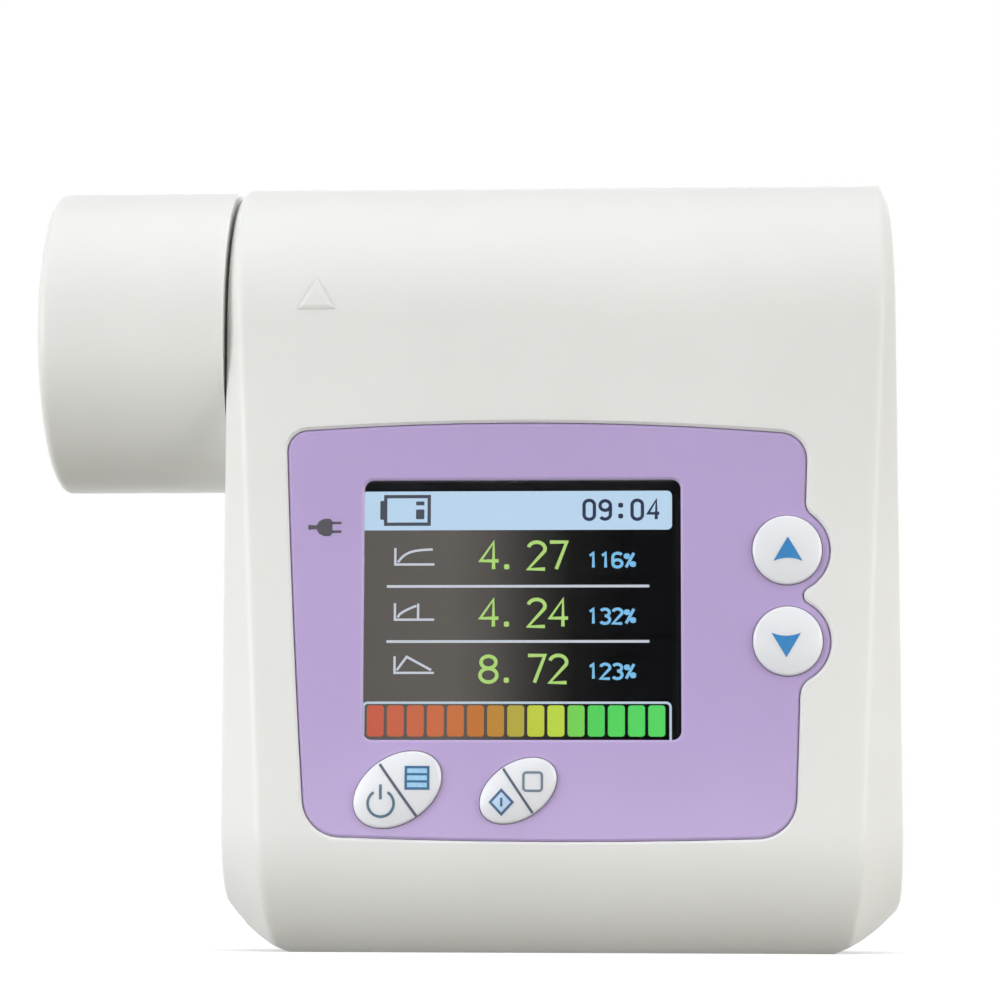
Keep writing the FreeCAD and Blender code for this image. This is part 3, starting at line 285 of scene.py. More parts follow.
def add_piece(name, build, material, body):
    """A piece from a mesh-building function; sizes inside it are in millimetres."""
    mesh = bpy.data.meshes.new(name)
    bm = bmesh.new()
    build(bm)
    bmesh.ops.scale(bm, vec=(MM, MM, MM), verts=bm.verts)
    bmesh.ops.recalc_face_normals(bm, faces=bm.faces)
    bm.to_mesh(mesh)
    bm.free()
    obj = bpy.data.objects.new(name, mesh)
    bpy.context.scene.collection.objects.link(obj)
    mesh.materials.append(material)
    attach(obj, body)
    return obj


def arc_points(cx, cz, r, start, end, count=None):
    """Points along an arc in the front plane, angles in degrees from +X."""
    steps = count or max(3, int(abs(end - start) / 9) + 1)
    return [
        (cx + r * math.cos(math.radians(start + (end - start) * i / steps)),
         cz + r * math.sin(math.radians(start + (end - start) * i / steps)))
        for i in range(steps + 1)
    ]


def round_box(x0, z0, x1, z1, radii):
    """A closed outline with corner radii in the order foot left, foot right, top right, top left."""
    fl, fr, tr, tl = (max(r, 0.001) for r in radii)
    return (
        arc_points(x0 + fl, z0 + fl, fl, 180, 270)
        + arc_points(x1 - fr, z0 + fr, fr, 270, 360)
        + arc_points(x1 - tr, z1 - tr, tr, 0, 90)
        + arc_points(x0 + tl, z1 - tl, tl, 90, 180)
    )


def flat_face(bm, outline, y):
    """A filled outline facing the front."""
    verts = [bm.verts.new((x, y, z)) for x, z in outline]
    bm.faces.new(verts)


def bridge(bm, rings):
    """Faces between rings that have the same number of points."""
    for low, high in zip(rings, rings[1:]):
        for i in range(len(low)):
            j = (i + 1) % len(low)
            bm.faces.new((low[i], low[j], high[j], high[i]))


def close(bm, ring, tip):
    """Faces from a ring to one point."""
    for i in range(len(ring)):
        bm.faces.new((ring[i], ring[(i + 1) % len(ring)], tip))


def even_steps(count):
    """Even steps from 0 to 1."""
    return [i / count for i in range(count + 1)]


# A stroke's corner widens by at most one over this
MITRE_LIMIT = 0.68


def stroke(bm, path, width, y, closed=False):
    """A ribbon of even width along a path, mitred at its corners."""
    pts = [Vector(p) for p in path]
    count = len(pts)
    pairs = []
    for i, p in enumerate(pts):
        before = pts[i - 1] if i or closed else None
        after = pts[(i + 1) % count] if i < count - 1 or closed else None
        a = (p - before).normalized() if before is not None else (after - p).normalized()
        b = (after - p).normalized() if after is not None else a
        along = (a + b).normalized() if (a + b).length > 1e-6 else a
        side = Vector((-along.y, along.x))
        reach = width / 2 / max(MITRE_LIMIT, side.dot(Vector((-a.y, a.x))))
        pairs.append((p + side * reach, p - side * reach))
    rows = [(bm.verts.new((u.x, y, u.y)), bm.verts.new((v.x, y, v.y))) for u, v in pairs]
    spans = range(count) if closed else range(count - 1)
    for i in spans:
        (a, b), (c, d) = rows[i], rows[(i + 1) % count]
        bm.faces.new((a, b, d, c))


# Digits as strokes in a cell one wide and two high

DIGITS = {
    "0": [arc_points(0.5, 1.5, 0.5, 0, 180) + arc_points(0.5, 0.5, 0.5, 180, 360) + [(1.0, 1.5)]],
    "1": [[(0.18, 1.62), (0.55, 2.0), (0.55, 0.0)]],
    "2": [arc_points(0.5, 1.5, 0.5, 165, -20) + [(0.0, 0.0), (1.0, 0.0)]],
    "3": [arc_points(0.47, 1.5, 0.48, 150, -70) + [(0.45, 1.04)], arc_points(0.47, 0.52, 0.52, 75, -150)],
    "4": [[(0.78, 0.0), (0.78, 2.0), (0.0, 0.62), (1.08, 0.62)]],
    "6": [arc_points(0.52, 1.45, 0.52, 35, 180) + [(0.0, 0.55)], arc_points(0.5, 0.55, 0.5, 180, -180)],
    "7": [[(0.0, 2.0), (1.0, 2.0), (0.38, 0.0)]],
    "8": [arc_points(0.5, 1.5, 0.44, 0, 360), arc_points(0.5, 0.54, 0.5, 0, 360)],
    "9": [arc_points(0.5, 1.45, 0.5, 0, 360), [(1.0, 1.45)] + arc_points(0.48, 0.55, 0.52, 0, -145)],
    "%": [arc_points(0.2, 1.55, 0.2, 0, 360, 10), arc_points(0.86, 0.45, 0.2, 0, 360, 10),
          [(0.95, 2.0), (0.1, 0.0)]],
}


# Points and colons: how high each dot stands in the cell and how far across, then its half width in
# strokes, and its rise and corner radius in half widths
DOT_FEET = {".": (0.12,), ":": (0.26, 1.4)}
DOT_ACROSS = 0.45
DOT_HALF = 0.72
DOT_RISE = 0.3
DOT_CORNER = 0.6


def write(bm, text, x, z, size, width, pitch, y):
    """Digits from a foot-left corner; size is a cell's width and height, and pitch the step to the next."""
    for char in text:
        if char in DOT_FEET:
            half = width * DOT_HALF
            cx = x + size[0] * DOT_ACROSS
            for foot in DOT_FEET[char]:
                cz = z + foot * size[1] / 2 + half * DOT_RISE
                corners = [half * DOT_CORNER] * 4
                flat_face(bm, round_box(cx - half, cz - half, cx + half, cz + half, corners), y)
        else:
            for path in DIGITS[char]:
                stroke(bm, [(x + px * size[0], z + pz * size[1] / 2) for px, pz in path], width, y)
        x += pitch


# The display's picture; places are measured on the lit area

IMAGE_LEFT, IMAGE_RIGHT = -21.98, 12.58
IMAGE_TOP, IMAGE_FOOT = 51.33, 23.34
HEADER_FOOT = 46.95
SCREEN_Y = DISPLAY_FACE_Y - INK_STEP
INK_Y = SCREEN_Y - INK_STEP
TOP_Y = INK_Y - INK_STEP
ROW_FEET = (42.55, 36.12, 29.86)
ROW_NUMBERS = ("4.27", "4.24", "8.72")
NUMBER_LEFTS = (-8.84, -6.75, -3.49)
NUMBER_CELL = (1.88, 3.03)
NUMBER_PITCH = 2.42
NUMBER_LINE = 0.4
ROW_SHARES = ("116%", "132%", "123%")
SHARE_FEET = (42.72, 36.45, 30.30)
SHARE_LEFT = 3.22
SHARE_CELL = (1.03, 1.62)
SHARE_PITCH = 1.37
SHARE_LINE = 0.33
SIGN_FEET = (43.1, 36.9, 30.95)
SIGN_LEFT = -18.4
SIGN_LINE = 0.26
BATTERY_BOX = (-19.52, 47.64, -14.62, 50.75)
BATTERY_POLE = (-20.13, 48.14, -19.7, 50.28)
BATTERY_LEVELS = [(-16.1, 48.2, -15.16, 49.3), (-16.1, 49.76, -15.16, 50.2)]
CLOCK_PLACE = (2.75, 48.12)
CLOCK_CELL = (1.16, 2.15)
CLOCK_PITCH = 1.79
HEADER_LINE = 0.38
DIVIDERS = (40.63, 34.45)
DIVIDER_ENDS = (-19.33, 10.02)
DIVIDER_HALF = 0.15
BAR_TOP, BAR_FOOT = 27.33, 23.86
BAR_LEFT, BAR_RIGHT = -21.45, 11.76
BAR_CELLS = 15
BAR_GAP = 0.35
BAR_CORNER_R = 0.35
BAR_FRAME = (-21.86, 12.35, 27.62)
BAR_FRAME_R = 0.5
BAR_FRAME_LINE = 0.26


def screen_back(bm):
    """The whole lit area, dark where nothing is shown."""
    flat_face(bm, round_box(IMAGE_LEFT, IMAGE_FOOT, IMAGE_RIGHT, IMAGE_TOP, (0.1, 0.3, 0.5, 0.3)), SCREEN_Y)


def header_bar(bm):
    """The pale bar along the top."""
    flat_face(bm, round_box(IMAGE_LEFT, HEADER_FOOT, IMAGE_RIGHT, IMAGE_TOP, (0.1, 0.55, 0.6, 0.3)), INK_Y)


def battery_sign(bm):
    """A battery's outline with its pole and two levels."""
    left, foot, right, top = BATTERY_BOX
    stroke(bm, [(left, foot), (right, foot), (right, top), (left, top)], HEADER_LINE, TOP_Y, closed=True)
    flat_face(bm, round_box(*BATTERY_POLE, (0.15, 0.01, 0.01, 0.15)), TOP_Y)
    for level, r in zip(BATTERY_LEVELS, (0.12, 0.08)):
        flat_face(bm, round_box(*level, (r,) * 4), TOP_Y)


def clock(bm):
    """The time at the right of the header."""
    write(bm, "09:04", *CLOCK_PLACE, CLOCK_CELL, HEADER_LINE, CLOCK_PITCH, TOP_Y)


def numbers(bm):
    """The three measured values."""
    for foot, text in zip(ROW_FEET, ROW_NUMBERS):
        for part, x in zip((text[0], text[1], text[2:]), NUMBER_LEFTS):
            write(bm, part, x, foot, NUMBER_CELL, NUMBER_LINE, NUMBER_PITCH, INK_Y)


def shares(bm):
    """The three percent values."""
    for foot, text in zip(SHARE_FEET, ROW_SHARES):
        write(bm, text, SHARE_LEFT, foot, SHARE_CELL, SHARE_LINE, SHARE_PITCH, INK_Y)


def row_signs(bm):
    """A sign for each row: a filled volume, a timed volume and a peak."""
    left = SIGN_LEFT
    filling = [(0.3 + 3.9 * t, 0.25 + 1.45 * (1 - math.exp(-4.2 * t))) for t in even_steps(14)]
    timed = [(0.3 + 2.1 * t, 0.25 + 1.3 * t ** 0.6) for t in even_steps(10)]
    time_mark = [(2.6, 0.1), (2.6, 1.8)]
    peak = [(0.25, 0.3), (1.35, 1.8), (4.1, 0.3)]
    axes = [(0.0, 1.85), (0.0, 0.0), (4.4, 0.0)]
    for foot, lines in zip(SIGN_FEET, ([axes, filling], [axes, timed, time_mark], [axes, peak])):
        for line in lines:
            stroke(bm, [(left + x, foot + z) for x, z in line], SIGN_LINE, INK_Y)


def dividers(bm):
    """The two lines between the rows."""
    left, right = DIVIDER_ENDS
    for z in DIVIDERS:
        flat_face(bm, round_box(left, z - DIVIDER_HALF, right, z + DIVIDER_HALF, (0.05,) * 4), INK_Y)


def bar_frame(bm):
    """The thin frame over and beside the colour bar."""
    left, right, top = BAR_FRAME
    r = BAR_FRAME_R
    path = [(left, IMAGE_FOOT)] + arc_points(left + r, top - r, r, 180, 90)
    path += arc_points(right - r, top - r, r, 90, 0) + [(right, IMAGE_FOOT)]
    stroke(bm, path, BAR_FRAME_LINE, INK_Y)


# The bar's colours from red to green: the cell that each belongs to, then the colour
BAR_COLOURS = [
    (0.0, (0.62, 0.13, 0.075)),
    (3.5, (0.64, 0.17, 0.065)),
    (5.6, (0.56, 0.20, 0.035)),
    (7.0, (0.50, 0.42, 0.06)),
    (8.4, (0.60, 0.74, 0.06)),
    (9.4, (0.50, 0.72, 0.07)),
    (10.2, (0.10, 0.68, 0.11)),
    (14.0, (0.10, 0.72, 0.13)),
]


def bar_colour(index):
    """The bar's colour at one cell, between the named stops."""
    for (a, low), (b, high) in zip(BAR_COLOURS, BAR_COLOURS[1:]):
        if index <= b:
            share = (index - a) / (b - a)
            return tuple(low[k] + (high[k] - low[k]) * share for k in range(3))
    return BAR_COLOURS[-1][1]


def bar_cell(index):
    """One cell of the colour bar."""
    pitch = (BAR_RIGHT - BAR_LEFT + BAR_GAP) / BAR_CELLS
    left = BAR_LEFT + index * pitch

    def build(bm):
        outline = round_box(left, BAR_FOOT, left + pitch - BAR_GAP, BAR_TOP, (BAR_CORNER_R,) * 4)
        flat_face(bm, outline, INK_Y)

    return build


# Painted reflection of a soft light in the display window: an emission colour that fades from the left
# across the unlit area
SCREEN_PAINTED_REFLECTION = [
    (0.0, (0.122, 0.110, 0.099)),
    (0.29, (0.128, 0.117, 0.104)),
    (0.42, (0.090, 0.082, 0.073)),
    (0.55, (0.036, 0.034, 0.030)),
    (0.68, (0.006, 0.006, 0.005)),
    (0.85, (0.0, 0.0, 0.0)),
]


def screen_material():
    """The unlit part of the display: near black, with a painted reflection of a soft light, brightest at
    one side and fading across.
    """
    s = Shader("display_painted_reflection")
    split = s.tree.nodes.new("ShaderNodeSeparateXYZ")
    s.link(s.place, split.inputs["Vector"])
    across = s.span(split.outputs["X"], 0.0, 1.0, IMAGE_LEFT * MM, IMAGE_RIGHT * MM)
    # The painted reflection, fading across the display, is fed in as emission
    glow = s.ramp(across, SCREEN_PAINTED_REFLECTION)
    s.link(glow, s.surface.inputs["Emission Color"])
    s.set(Base_Color=(0.004, 0.004, 0.005, 1.0), Roughness=0.5, Specular_IOR_Level=0.05)
    s.set(Emission_Strength=1.0)
    return s.material


add_piece("screen_back", screen_back, screen_material(), "casing")
pale_blue_cells = glowing("cells_pale_blue", (0.535, 0.725, 0.90), drift=0.02)
add_piece("screen_header", header_bar, pale_blue_cells, "casing")
dark_cells = glowing("cells_dark", (0.028, 0.038, 0.082))
add_piece("screen_battery", battery_sign, glowing("cells_slate", (0.075, 0.085, 0.11)), "casing")
add_piece("screen_clock", clock, dark_cells, "casing")
add_piece("screen_numbers", numbers, glowing("cells_lime", (0.46, 0.73, 0.19)), "casing")
add_piece("screen_shares", shares, glowing("cells_cyan", (0.22, 0.56, 0.86)), "casing")
white_cells = glowing("cells_white", (0.62, 0.66, 0.72))
add_piece("screen_row_signs", row_signs, white_cells, "casing")
add_piece("screen_dividers", dividers, white_cells, "casing")
add_piece("screen_bar_frame", bar_frame, glowing("cells_frost", (0.55, 0.66, 0.76)), "casing")
for i in range(BAR_CELLS):
    bar_cells = glowing(f"cells_bar_{i + 1:02d}", bar_colour(i))
    add_piece(f"screen_bar_{i + 1:02d}", bar_cell(i), bar_cells, "casing")


# Signs printed on the panel and the keys

PLUG_BODY = [(-28.0, 46.82), (-27.1, 46.9), (-26.75, 46.35), (-26.2, 46.1), (-25.55, 46.1), (-25.3, 46.4),
             (-25.3, 47.75), (-25.55, 48.05), (-26.2, 48.05), (-26.75, 47.8), (-27.1, 47.3), (-28.0, 47.38)]
PIN_LEFT, PIN_RIGHT = -25.35, -24.28
PIN_PLACES = (46.6, 47.58)
PIN_HALF = 0.14


def plug_sign(bm):
    """A lead and plug seen from the side, with two pins."""
    y = PANEL_FACE_Y - INK_STEP
    flat_face(bm, PLUG_BODY, y)
    for z in PIN_PLACES:
        pin = round_box(PIN_LEFT, z - PIN_HALF, PIN_RIGHT, z + PIN_HALF, (0.02, 0.1, 0.1, 0.02))
        flat_face(bm, pin, y)


add_piece("charge_sign", plug_sign, printed("ink_charcoal", INK_GREY), "casing")


def key_dome(key, x, z):
    """The height of a key's crown at a place on it."""
    cx, cz, long_half, short_half, lean = KEYS[key]
    a = math.radians(lean)
    u = ((x - cx) * math.cos(a) + (z - cz) * math.sin(a)) * short_half / long_half
    v = -(x - cx) * math.sin(a) + (z - cz) * math.cos(a)
    dome_r = (short_half ** 2 + KEY_CROWN ** 2) / (2 * KEY_CROWN)
    return KEY_EDGE_Y - KEY_CROWN + dome_r - math.sqrt(dome_r ** 2 - u * u - v * v)


def key_sign(key, build):
    """A sign laid on a key's crown; what it is built with as depth becomes its height over the crown."""
    def laid(bm):
        build(bm)
        bmesh.ops.triangulate(bm, faces=bm.faces)
        for v in bm.verts:
            v.co.y = key_dome(key, v.co.x, v.co.z) - v.co.y

    return laid


ARROW_HALF_WIDTH, ARROW_HALF_HEIGHT, ARROW_HOLLOW = 1.62, 1.36, 0.35
ARROW_COLUMNS, ARROW_ROWS = 8, 6


def arrow(cx, cz, way):
    """A solid arrow with a slightly hollow base; way is 1 for up and -1 for down."""
    half_w, half_h = ARROW_HALF_WIDTH, ARROW_HALF_HEIGHT

    def build(bm):
        rise = [ARROW_HOLLOW * 4 * t * (1 - t) for t in even_steps(ARROW_COLUMNS)]
        across = [cx + half_w * (2 * t - 1) for t in even_steps(ARROW_COLUMNS)]
        base = [(x, cz - way * (half_h - up)) for x, up in zip(across, rise)]
        tip = (cx, cz + way * half_h)
        rows = []
        for share in even_steps(ARROW_ROWS)[:-1]:
            row = [(x + (tip[0] - x) * share, z + (tip[1] - z) * share) for x, z in base]
            rows.append([bm.verts.new((x, LINE_LIFT, z)) for x, z in row])
        top = bm.verts.new((tip[0], LINE_LIFT, tip[1]))
        for i in range(len(base) - 1):
            for low, high in zip(rows, rows[1:]):
                bm.faces.new((low[i], low[i + 1], high[i + 1], high[i]))
            bm.faces.new((rows[-1][i], rows[-1][i + 1], top))

    return build


def dense(path, step=0.4):
    """A path with extra points so that a long stroke can follow a crown."""
    out = [path[0]]
    for (x0, z0), (x1, z1) in zip(path, path[1:]):
        parts = max(1, int(math.dist((x0, z0), (x1, z1)) / step))
        out += [(x0 + (x1 - x0) * i / parts, z0 + (z1 - z0) * i / parts) for i in range(1, parts + 1)]
    return out


def key_line(path, width, closed=False):
    """A printed line for a key."""
    if closed:
        return lambda bm: stroke(bm, dense(path + path[:1])[:-1], width, LINE_LIFT, closed=True)
    return lambda bm: stroke(bm, dense(path), width, LINE_LIFT)


def key_fill(outline, shares=(1.0, 0.75, 0.5, 0.25)):
    """A printed patch for a key, cut into rings so that it follows the crown."""
    def build(bm):
        path = dense(outline + outline[:1])[:-1]
        cx = sum(x for x, z in path) / len(path)
        cz = sum(z for x, z in path) / len(path)
        rows = []
        for share in shares:
            row = [(cx + (x - cx) * share, cz + (z - cz) * share) for x, z in path]
            rows.append([bm.verts.new((x, FILL_LIFT, z)) for x, z in row])
        middle = bm.verts.new((cx, FILL_LIFT, cz))
        bridge(bm, rows)
        close(bm, rows[-1], middle)

    return build


def together(*builds):
    """Several lines or patches in one piece."""
    def build(bm):
        for one in builds:
            one(bm)

    return build


LIST_BOX = [(-16.8, 18.0), (-14.35, 18.0), (-14.35, 20.35), (-16.8, 20.35)]
LIST_LINES = (18.78, 19.57)
DIAMOND = [(-6.27, 15.2), (-5.03, 16.52), (-6.27, 17.85), (-7.51, 16.52)]
SOFT_SQUARE = round_box(-3.83, 17.76, -1.8, 19.78, (0.35,) * 4)

KEY_SIGNS = [
    ("up_arrow", "up", INK_ARROW, arrow(25.35, 44.45, 1)),
    ("down_arrow", "down", INK_ARROW, arrow(25.1, 33.8, -1)),
    ("power_divider", "power", INK_SLATE, key_line([(-19.75, 20.7), (-15.65, 14.95)], 0.3)),
    ("power_ring", "power", INK_RING, together(
        key_line(arc_points(-19.58, 16.35, 1.45, 122, 418, 30), 0.3),
        key_line([(-19.6, 18.45), (-19.6, 16.8)], 0.3))),
    ("list_patch", "power", INK_SKY, key_fill(LIST_BOX)),
    ("list_sign", "power", INK_LIST, together(
        key_line(LIST_BOX, 0.28, closed=True),
        *[key_line([(-16.66, z), (-14.49, z)], 0.26) for z in LIST_LINES])),
    ("start_divider", "start", INK_SLATE, key_line([(-6.1, 20.22), (-2.83, 15.33)], 0.28)),
    ("diamond_patch", "start", INK_PALE, key_fill(DIAMOND)),
    ("diamond_sign", "start", INK_DIAMOND, together(
        key_line(DIAMOND, 0.28, closed=True),
        key_line([(-6.27, 17.0), (-6.27, 16.05)], 0.28))),
    ("square_sign", "start", INK_SQUARE, key_line(SOFT_SQUARE, 0.27, closed=True)),
]

for name, key, colour, build in KEY_SIGNS:
    add_piece(name, key_sign(key, build), printed(f"{name}_ink", colour), f"{key}_key")


# The fine line where the two halves of the casing meet

SEAM_HALF_WIDTH = 0.07
SEAM_LIFT = 0.012
BODY_CENTRE = Vector((0.0, 0.0, 45.0))
PLANE_SLACK = 0.002
WALL_LEAN = 0.7
FOOT_SLACK = 0.01

# The walls of the two ports for the breath, which stay without a line
PORT_Z = (50.0, 88.0)
PORT_X = 35.0
PORT_LEAN = 0.5


def outer_seam_edges(bm):
    """The front half's edges on the parting plane whose wall faces outwards, with each wall's way out."""
    for edge in bm.edges:
        if any(abs(v.co.y) > PLANE_SLACK for v in edge.verts):
            continue
        walls = [f for f in edge.link_faces if abs(f.normal.y) < WALL_LEAN]
        middle = (edge.verts[0].co + edge.verts[1].co) / 2
        if len(walls) != 1 or walls[0].normal.dot(middle - BODY_CENTRE) <= 0:
            continue
        beside_port = PORT_Z[0] < middle.z < PORT_Z[1] and abs(middle.x) > PORT_X
        in_port = beside_port and abs(walls[0].normal.x) < PORT_LEAN
        on_foot = middle.z < FOOT_SLACK
        if not in_port and not on_foot:
            yield edge, walls[0].normal


def casing_seam(bm):
    """A shallow shade line round the casing, drawn from the front half's own edge."""
    source = bmesh.new()
    source.from_mesh(frame["nodes"]["front_casing"].data)
    bmesh.ops.scale(source, vec=(1 / MM, 1 / MM, 1 / MM), verts=source.verts)
    bmesh.ops.remove_doubles(source, verts=source.verts, dist=0.0005)
    source.normal_update()
    edges = list(outer_seam_edges(source))
    out = {}
    for edge, normal in edges:
        for v in edge.verts:
            out[v] = out.get(v, Vector()) + Vector((normal.x, 0.0, normal.z))
    rows = {}
    for v, way in out.items():
        place = v.co + way.normalized() * SEAM_LIFT
        above_floor = max(place.z, 0.0)
        rows[v] = [bm.verts.new((place.x, side * SEAM_HALF_WIDTH, above_floor)) for side in (-1, 1)]
    for edge, _ in edges:
        (a, b), (c, d) = rows[edge.verts[0]], rows[edge.verts[1]]
        bm.faces.new((a, b, d, c))
    source.free()


add_piece("casing_seam", casing_seam, moulded("seam_shade", (0.30, 0.30, 0.29), rough=0.6), "casing")


# The screws seen in the back

SCREW_PLACES = [(-31.6, 51.4), (31.6, 51.4), (-27.6, 7.9), (27.6, 7.9)]
SCREW_SEAT_Y = 5.0
SCREW_PAN = [(1.0, 0.0), (1.9, 0.0), (1.9, 0.52), (1.86, 0.78), (1.74, 1.02), (1.55, 1.2), (1.3, 1.3)]
SCREW_HEAD = 1.3
SCREW_LENGTH, SCREW_TIP, SCREW_NECK = 12.5, 1.2, 0.4
THREAD_CREST, THREAD_ROOT, THREAD_PITCH = 1.0, 0.78, 0.8
THREAD_PROFILE = [(THREAD_ROOT, 0.0), (THREAD_CREST, 0.3), (THREAD_CREST, 0.42), (THREAD_ROOT, 0.72)]
CROSS_ARM, CROSS_HALF_WIDTH, CROSS_DEPTH = 1.02, 0.27, 0.6
CROSS_TAPER, CROSS_POINT = 0.8, 0.12
CROSS_ANGLES = [0, 7.5, 14.83, 22, 30, 37.5, 45, 52.5, 60, 68, 75.17, 82.5]


def cross_reach(degrees):
    """How far the cross recess reaches from its middle in one direction."""
    a = math.radians(degrees % 90)
    a = min(a, math.pi / 2 - a)
    return min(CROSS_ARM / math.cos(a), CROSS_HALF_WIDTH / max(math.sin(a), 1e-6))


def casing_screw(x, z):
    """A pan-head screw with a cross recess, driven from the back."""
    angles = [quarter * 90 + a for quarter in range(4) for a in CROSS_ANGLES]

    def build(bm):
        def ring(radius_at, y):
            return [bm.verts.new((x + radius_at(a) * math.cos(math.radians(a)), SCREW_SEAT_Y + y,
                                  z + radius_at(a) * math.sin(math.radians(a)))) for a in angles]

        turns = int((SCREW_LENGTH - SCREW_TIP - SCREW_NECK) / THREAD_PITCH)
        profile = []
        for i in range(turns):
            foot = -SCREW_LENGTH + SCREW_TIP + i * THREAD_PITCH
            profile += [(r, foot + lift) for r, lift in THREAD_PROFILE]
        profile += SCREW_PAN
        cross_foot = SCREW_HEAD - CROSS_DEPTH
        rings = [ring(lambda a, r=r: r, y) for r, y in profile]
        rings.append(ring(cross_reach, SCREW_HEAD))
        rings.append(ring(lambda a: CROSS_TAPER * cross_reach(a), cross_foot))
        bridge(bm, rings)
        close(bm, rings[0], bm.verts.new((x, SCREW_SEAT_Y - SCREW_LENGTH, z)))
        close(bm, rings[-1], bm.verts.new((x, SCREW_SEAT_Y + cross_foot - CROSS_POINT, z)))

    return build


screw_group = add_piece("casing_screws", together(*[casing_screw(x, z) for x, z in SCREW_PLACES]),
                        materials["screw_steel"], "casing")
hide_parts("case_screws")


# The small raised triangle on the head

MARK_CORNERS = [(-29.6, 71.8), (-25.1, 71.8), (-27.35, 75.7)]
MARK_RINGS = [(1.0, -0.04), (0.95, 0.04), (0.66, 0.18), (0.58, 0.2)]
MARK_SIDE_PARTS = 6


def raised_triangle(bm):
    """A low wedge-edged triangle that follows the round of the head; each ring has a scale and a lift."""
    centre = Vector([sum(c) / 3 for c in zip(*MARK_CORNERS)])

    def on_head(p, lift):
        drop = p.y - AXIS_Z
        radius = HEAD_R + lift
        return bm.verts.new((p.x, -math.sqrt(radius * radius - drop * drop), p.y))

    outline = []
    for a, b in zip(MARK_CORNERS, MARK_CORNERS[1:] + MARK_CORNERS[:1]):
        outline += [Vector(a).lerp(Vector(b), i / MARK_SIDE_PARTS) for i in range(MARK_SIDE_PARTS)]
    rings = []
    for scale, lift in MARK_RINGS:
        rings.append([on_head(centre + (p - centre) * scale, lift) for p in outline])
    bridge(bm, rings)
    close(bm, rings[-1], on_head(centre, MARK_RINGS[-1][1]))


add_piece("fitting_mark", raised_triangle, materials["casing_white"], "casing")


# Camera at the photograph's place

CAMERA_PLACE = Vector((0.013094, -0.376365, 0.005944))
CAMERA_FORWARD = Vector((-0.054335, 0.991037, 0.122043))
CAMERA_UP = Vector((0.003352, -0.122041, 0.992519))
CAMERA_LENS = 116.83

camera = bpy.data.cameras.new("camera")
camera.lens = CAMERA_LENS
camera.sensor_width = 36.0
camera.clip_start = 0.01
camera.clip_end = 50.0
viewer = bpy.data.objects.new("camera", camera)
right = CAMERA_FORWARD.cross(CAMERA_UP).normalized()
up = right.cross(CAMERA_FORWARD).normalized()
turn = Matrix((right, up, -CAMERA_FORWARD.normalized())).transposed()
viewer.matrix_world = Matrix.Translation(CAMERA_PLACE) @ turn.to_4x4()
bpy.context.scene.collection.objects.link(viewer)
bpy.context.scene.camera = viewer


# Studio: pale floor, soft lights and a plain surround

def combined(tree, operation, first, second):
    """Two values put together by one operation."""
    made = tree.nodes.new("ShaderNodeMath")
    made.operation = operation
    tree.links.new(first, made.inputs[0])
    tree.links.new(second, made.inputs[1])
    return made.outputs["Value"]


def mixed(tree, share, first, second):
    """Two shaders mixed; the share is the second one's."""
    made = tree.nodes.new("ShaderNodeMixShader")
    tree.links.new(share, made.inputs["Fac"])
    tree.links.new(first, made.inputs[1])
    tree.links.new(second, made.inputs[2])
    return made.outputs["Shader"]


def seen_rays(tree, path, kinds):
    """1 for the kinds of ray named, 0 for the others."""
    result = path.outputs[kinds[0]]
    for kind in kinds[1:]:
        result = combined(tree, "MAXIMUM", result, path.outputs[kind])
    return result


# The dark cone round the front, by a direction's Y, and the bright table edge, by its Z
CONE_CORE, CONE_RIM, CONE_STRENGTH = -0.97, -0.80, 0.012
EDGE_FOOT, EDGE_TOP = 0.018, 0.045


def dark_front(tree, split, high, table_edge):
    """A strength that falls off in a cone round the front: a dark camera side over a bright table edge."""
    cone = map_range(tree, split.outputs["Y"], CONE_CORE, CONE_RIM, CONE_STRENGTH, high)
    edge = map_range(tree, split.outputs["Z"], EDGE_FOOT, EDGE_TOP, table_edge, 0.0)
    return combined(tree, "MAXIMUM", cone.outputs["Result"], edge.outputs["Result"])


# The surround's layers: strength at the sides, strength at the table edge, tint, and the rays that see it
SURROUND = [
    (0.55, 0.55, (0.97, 0.985, 1.0), None),
    (1.0, 2.0, (1.0, 1.0, 1.0), ["Is Glossy Ray", "Is Transmission Ray"]),
    (None, None, (1.0, 1.0, 1.0), ["Is Camera Ray"]),
]


def make_world():
    """White to the camera and in reflections, soft grey as a light, and dark on the camera's side."""
    world = bpy.data.worlds.new("surround")
    world.use_nodes = True
    tree = world.node_tree
    tree.nodes.clear()
    out = tree.nodes.new("ShaderNodeOutputWorld")
    place = tree.nodes.new("ShaderNodeTexCoord").outputs["Generated"]
    split = tree.nodes.new("ShaderNodeSeparateXYZ")
    tree.links.new(place, split.inputs["Vector"])
    path = tree.nodes.new("ShaderNodeLightPath")
    surround = None
    for high, table_edge, tint, rays in SURROUND:
        light = tree.nodes.new("ShaderNodeBackground")
        light.inputs["Color"].default_value = (*tint, 1.0)
        if high:
            tree.links.new(dark_front(tree, split, high, table_edge), light.inputs["Strength"])
        if rays:
            surround = mixed(tree, seen_rays(tree, path, rays), surround, light.outputs["Background"])
        else:
            surround = light.outputs["Background"]
    tree.links.new(surround, out.inputs["Surface"])
    bpy.context.scene.world = world


def paper_surface(tree, grain, colour):
    """Matt paper with a faint grain."""
    tint = tree.nodes.new("ShaderNodeValToRGB")
    tint.color_ramp.elements[0].color = (*shade(colour, 0.98), 1.0)
    tint.color_ramp.elements[1].color = (*shade(colour, 1.02), 1.0)
    tree.links.new(grain.outputs["Fac"], tint.inputs["Fac"])
    made = tree.nodes.new("ShaderNodeBsdfDiffuse")
    tree.links.new(tint.outputs["Color"], made.inputs["Color"])
    return made.outputs["BSDF"]


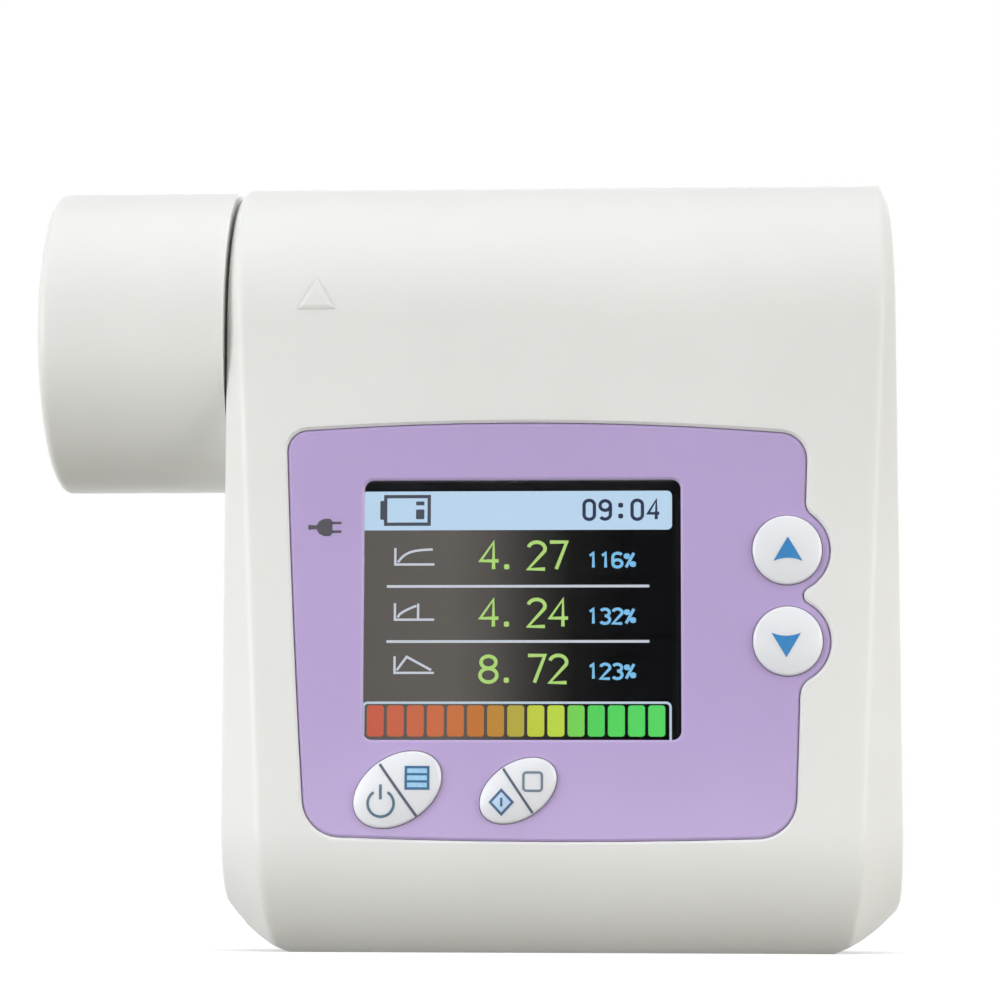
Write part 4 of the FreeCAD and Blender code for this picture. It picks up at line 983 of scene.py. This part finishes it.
FLOOR_HALF = 8.0
FLOOR_GRAIN = 60.0
FLOOR_BOUNCE = (0.315, 0.295, 0.255)
FLOOR_SEEN = (0.88, 0.88, 0.88)
GLOW_START, GLOW_END = 0.06, 0.32
GLOW_NEAR, GLOW_FAR = 0.33, 1.0


def floor_glow(tree, seen):
    """A glow that grows away from the object, so that the floor runs into the white surround."""
    place = tree.nodes.new("ShaderNodeTexCoord").outputs["Object"]
    distance = tree.nodes.new("ShaderNodeVectorMath")
    distance.operation = "LENGTH"
    tree.links.new(place, distance.inputs[0])
    share = map_range(tree, distance.outputs["Value"], GLOW_START, GLOW_END, GLOW_NEAR, GLOW_FAR)
    share.interpolation_type = "SMOOTHSTEP"
    strength = combined(tree, "MULTIPLY", share.outputs["Result"], seen)
    glow = tree.nodes.new("ShaderNodeEmission")
    tree.links.new(strength, glow.inputs["Strength"])
    return glow.outputs["Emission"]


def floor_paper():
    """Paper that the camera sees as white with the object's shadow, and that throws back less light."""
    paper = bpy.data.materials.new("floor_paper")
    paper.use_nodes = True
    tree = paper.node_tree
    tree.nodes.remove(tree.nodes["Principled BSDF"])
    grain = tree.nodes.new("ShaderNodeTexNoise")
    grain.inputs["Scale"].default_value = FLOOR_GRAIN
    path = tree.nodes.new("ShaderNodeLightPath")
    seen = seen_rays(tree, path, ["Is Camera Ray", "Is Glossy Ray", "Is Transmission Ray"])
    bounce = paper_surface(tree, grain, FLOOR_BOUNCE)
    sheet = mixed(tree, seen, bounce, paper_surface(tree, grain, FLOOR_SEEN))
    both = tree.nodes.new("ShaderNodeAddShader")
    tree.links.new(sheet, both.inputs[0])
    tree.links.new(floor_glow(tree, seen), both.inputs[1])
    tree.links.new(both.outputs["Shader"], tree.nodes["Material Output"].inputs["Surface"])
    return paper


def make_floor():
    """A large flat floor."""
    mesh = bpy.data.meshes.new("floor")
    half = FLOOR_HALF
    corners = [(-half, -half, 0), (half, -half, 0), (half, half, 0), (-half, half, 0)]
    mesh.from_pydata(corners, [], [(0, 1, 2, 3)])
    floor = bpy.data.objects.new("floor", mesh)
    bpy.context.scene.collection.objects.link(floor)
    mesh.materials.append(floor_paper())


def add_lamp(name, place, aim, size, power, tint, spread=180.0):
    """A square soft light; the spread in degrees is how wide it shines."""
    lamp = bpy.data.lights.new(name, "AREA")
    lamp.shape = "SQUARE"
    lamp.size = size
    lamp.spread = math.radians(spread)
    lamp.energy = power
    lamp.color = tint
    holder = bpy.data.objects.new(name, lamp)
    holder.location = place
    holder.visible_camera = False
    holder.rotation_mode = "QUATERNION"
    holder.rotation_quaternion = (Vector(aim) - Vector(place)).to_track_quat("-Z", "Y")
    bpy.context.scene.collection.objects.link(holder)


BODY_MIDDLE = (0.0, 0.0, 0.05)
LEFT_FOOT = (-0.03, -0.018, 0.018)
RIGHT_FOOT = (0.03, -0.018, 0.018)
SKY_TINT = (0.975, 0.99, 1.0)
COOL_TINT = (0.95, 0.975, 1.0)
WARM_TINT = (1.0, 0.995, 0.975)
WHITE_TINT = (1.0, 1.0, 1.0)

make_world()
make_floor()
add_lamp("top_light", (0.0, -0.12, 0.62), BODY_MIDDLE, 0.55, 0.82, SKY_TINT)
add_lamp("left_light", (-0.62, -0.46, 0.14), BODY_MIDDLE, 0.45, 4.15, COOL_TINT)
add_lamp("right_light", (0.64, -0.36, 0.12), BODY_MIDDLE, 0.45, 3.2, WARM_TINT)
add_lamp("back_light", (0.12, 0.66, 0.15), BODY_MIDDLE, 0.5, 2.2, WHITE_TINT)
add_lamp("left_low_fill", (-0.11, -0.11, 0.03), LEFT_FOOT, 0.05, 0.0014, COOL_TINT, 44.0)
add_lamp("right_low_fill", (0.11, -0.10, 0.03), RIGHT_FOOT, 0.05, 0.0012, WARM_TINT, 44.0)

bpy.context.scene.view_settings.view_transform = "Standard"
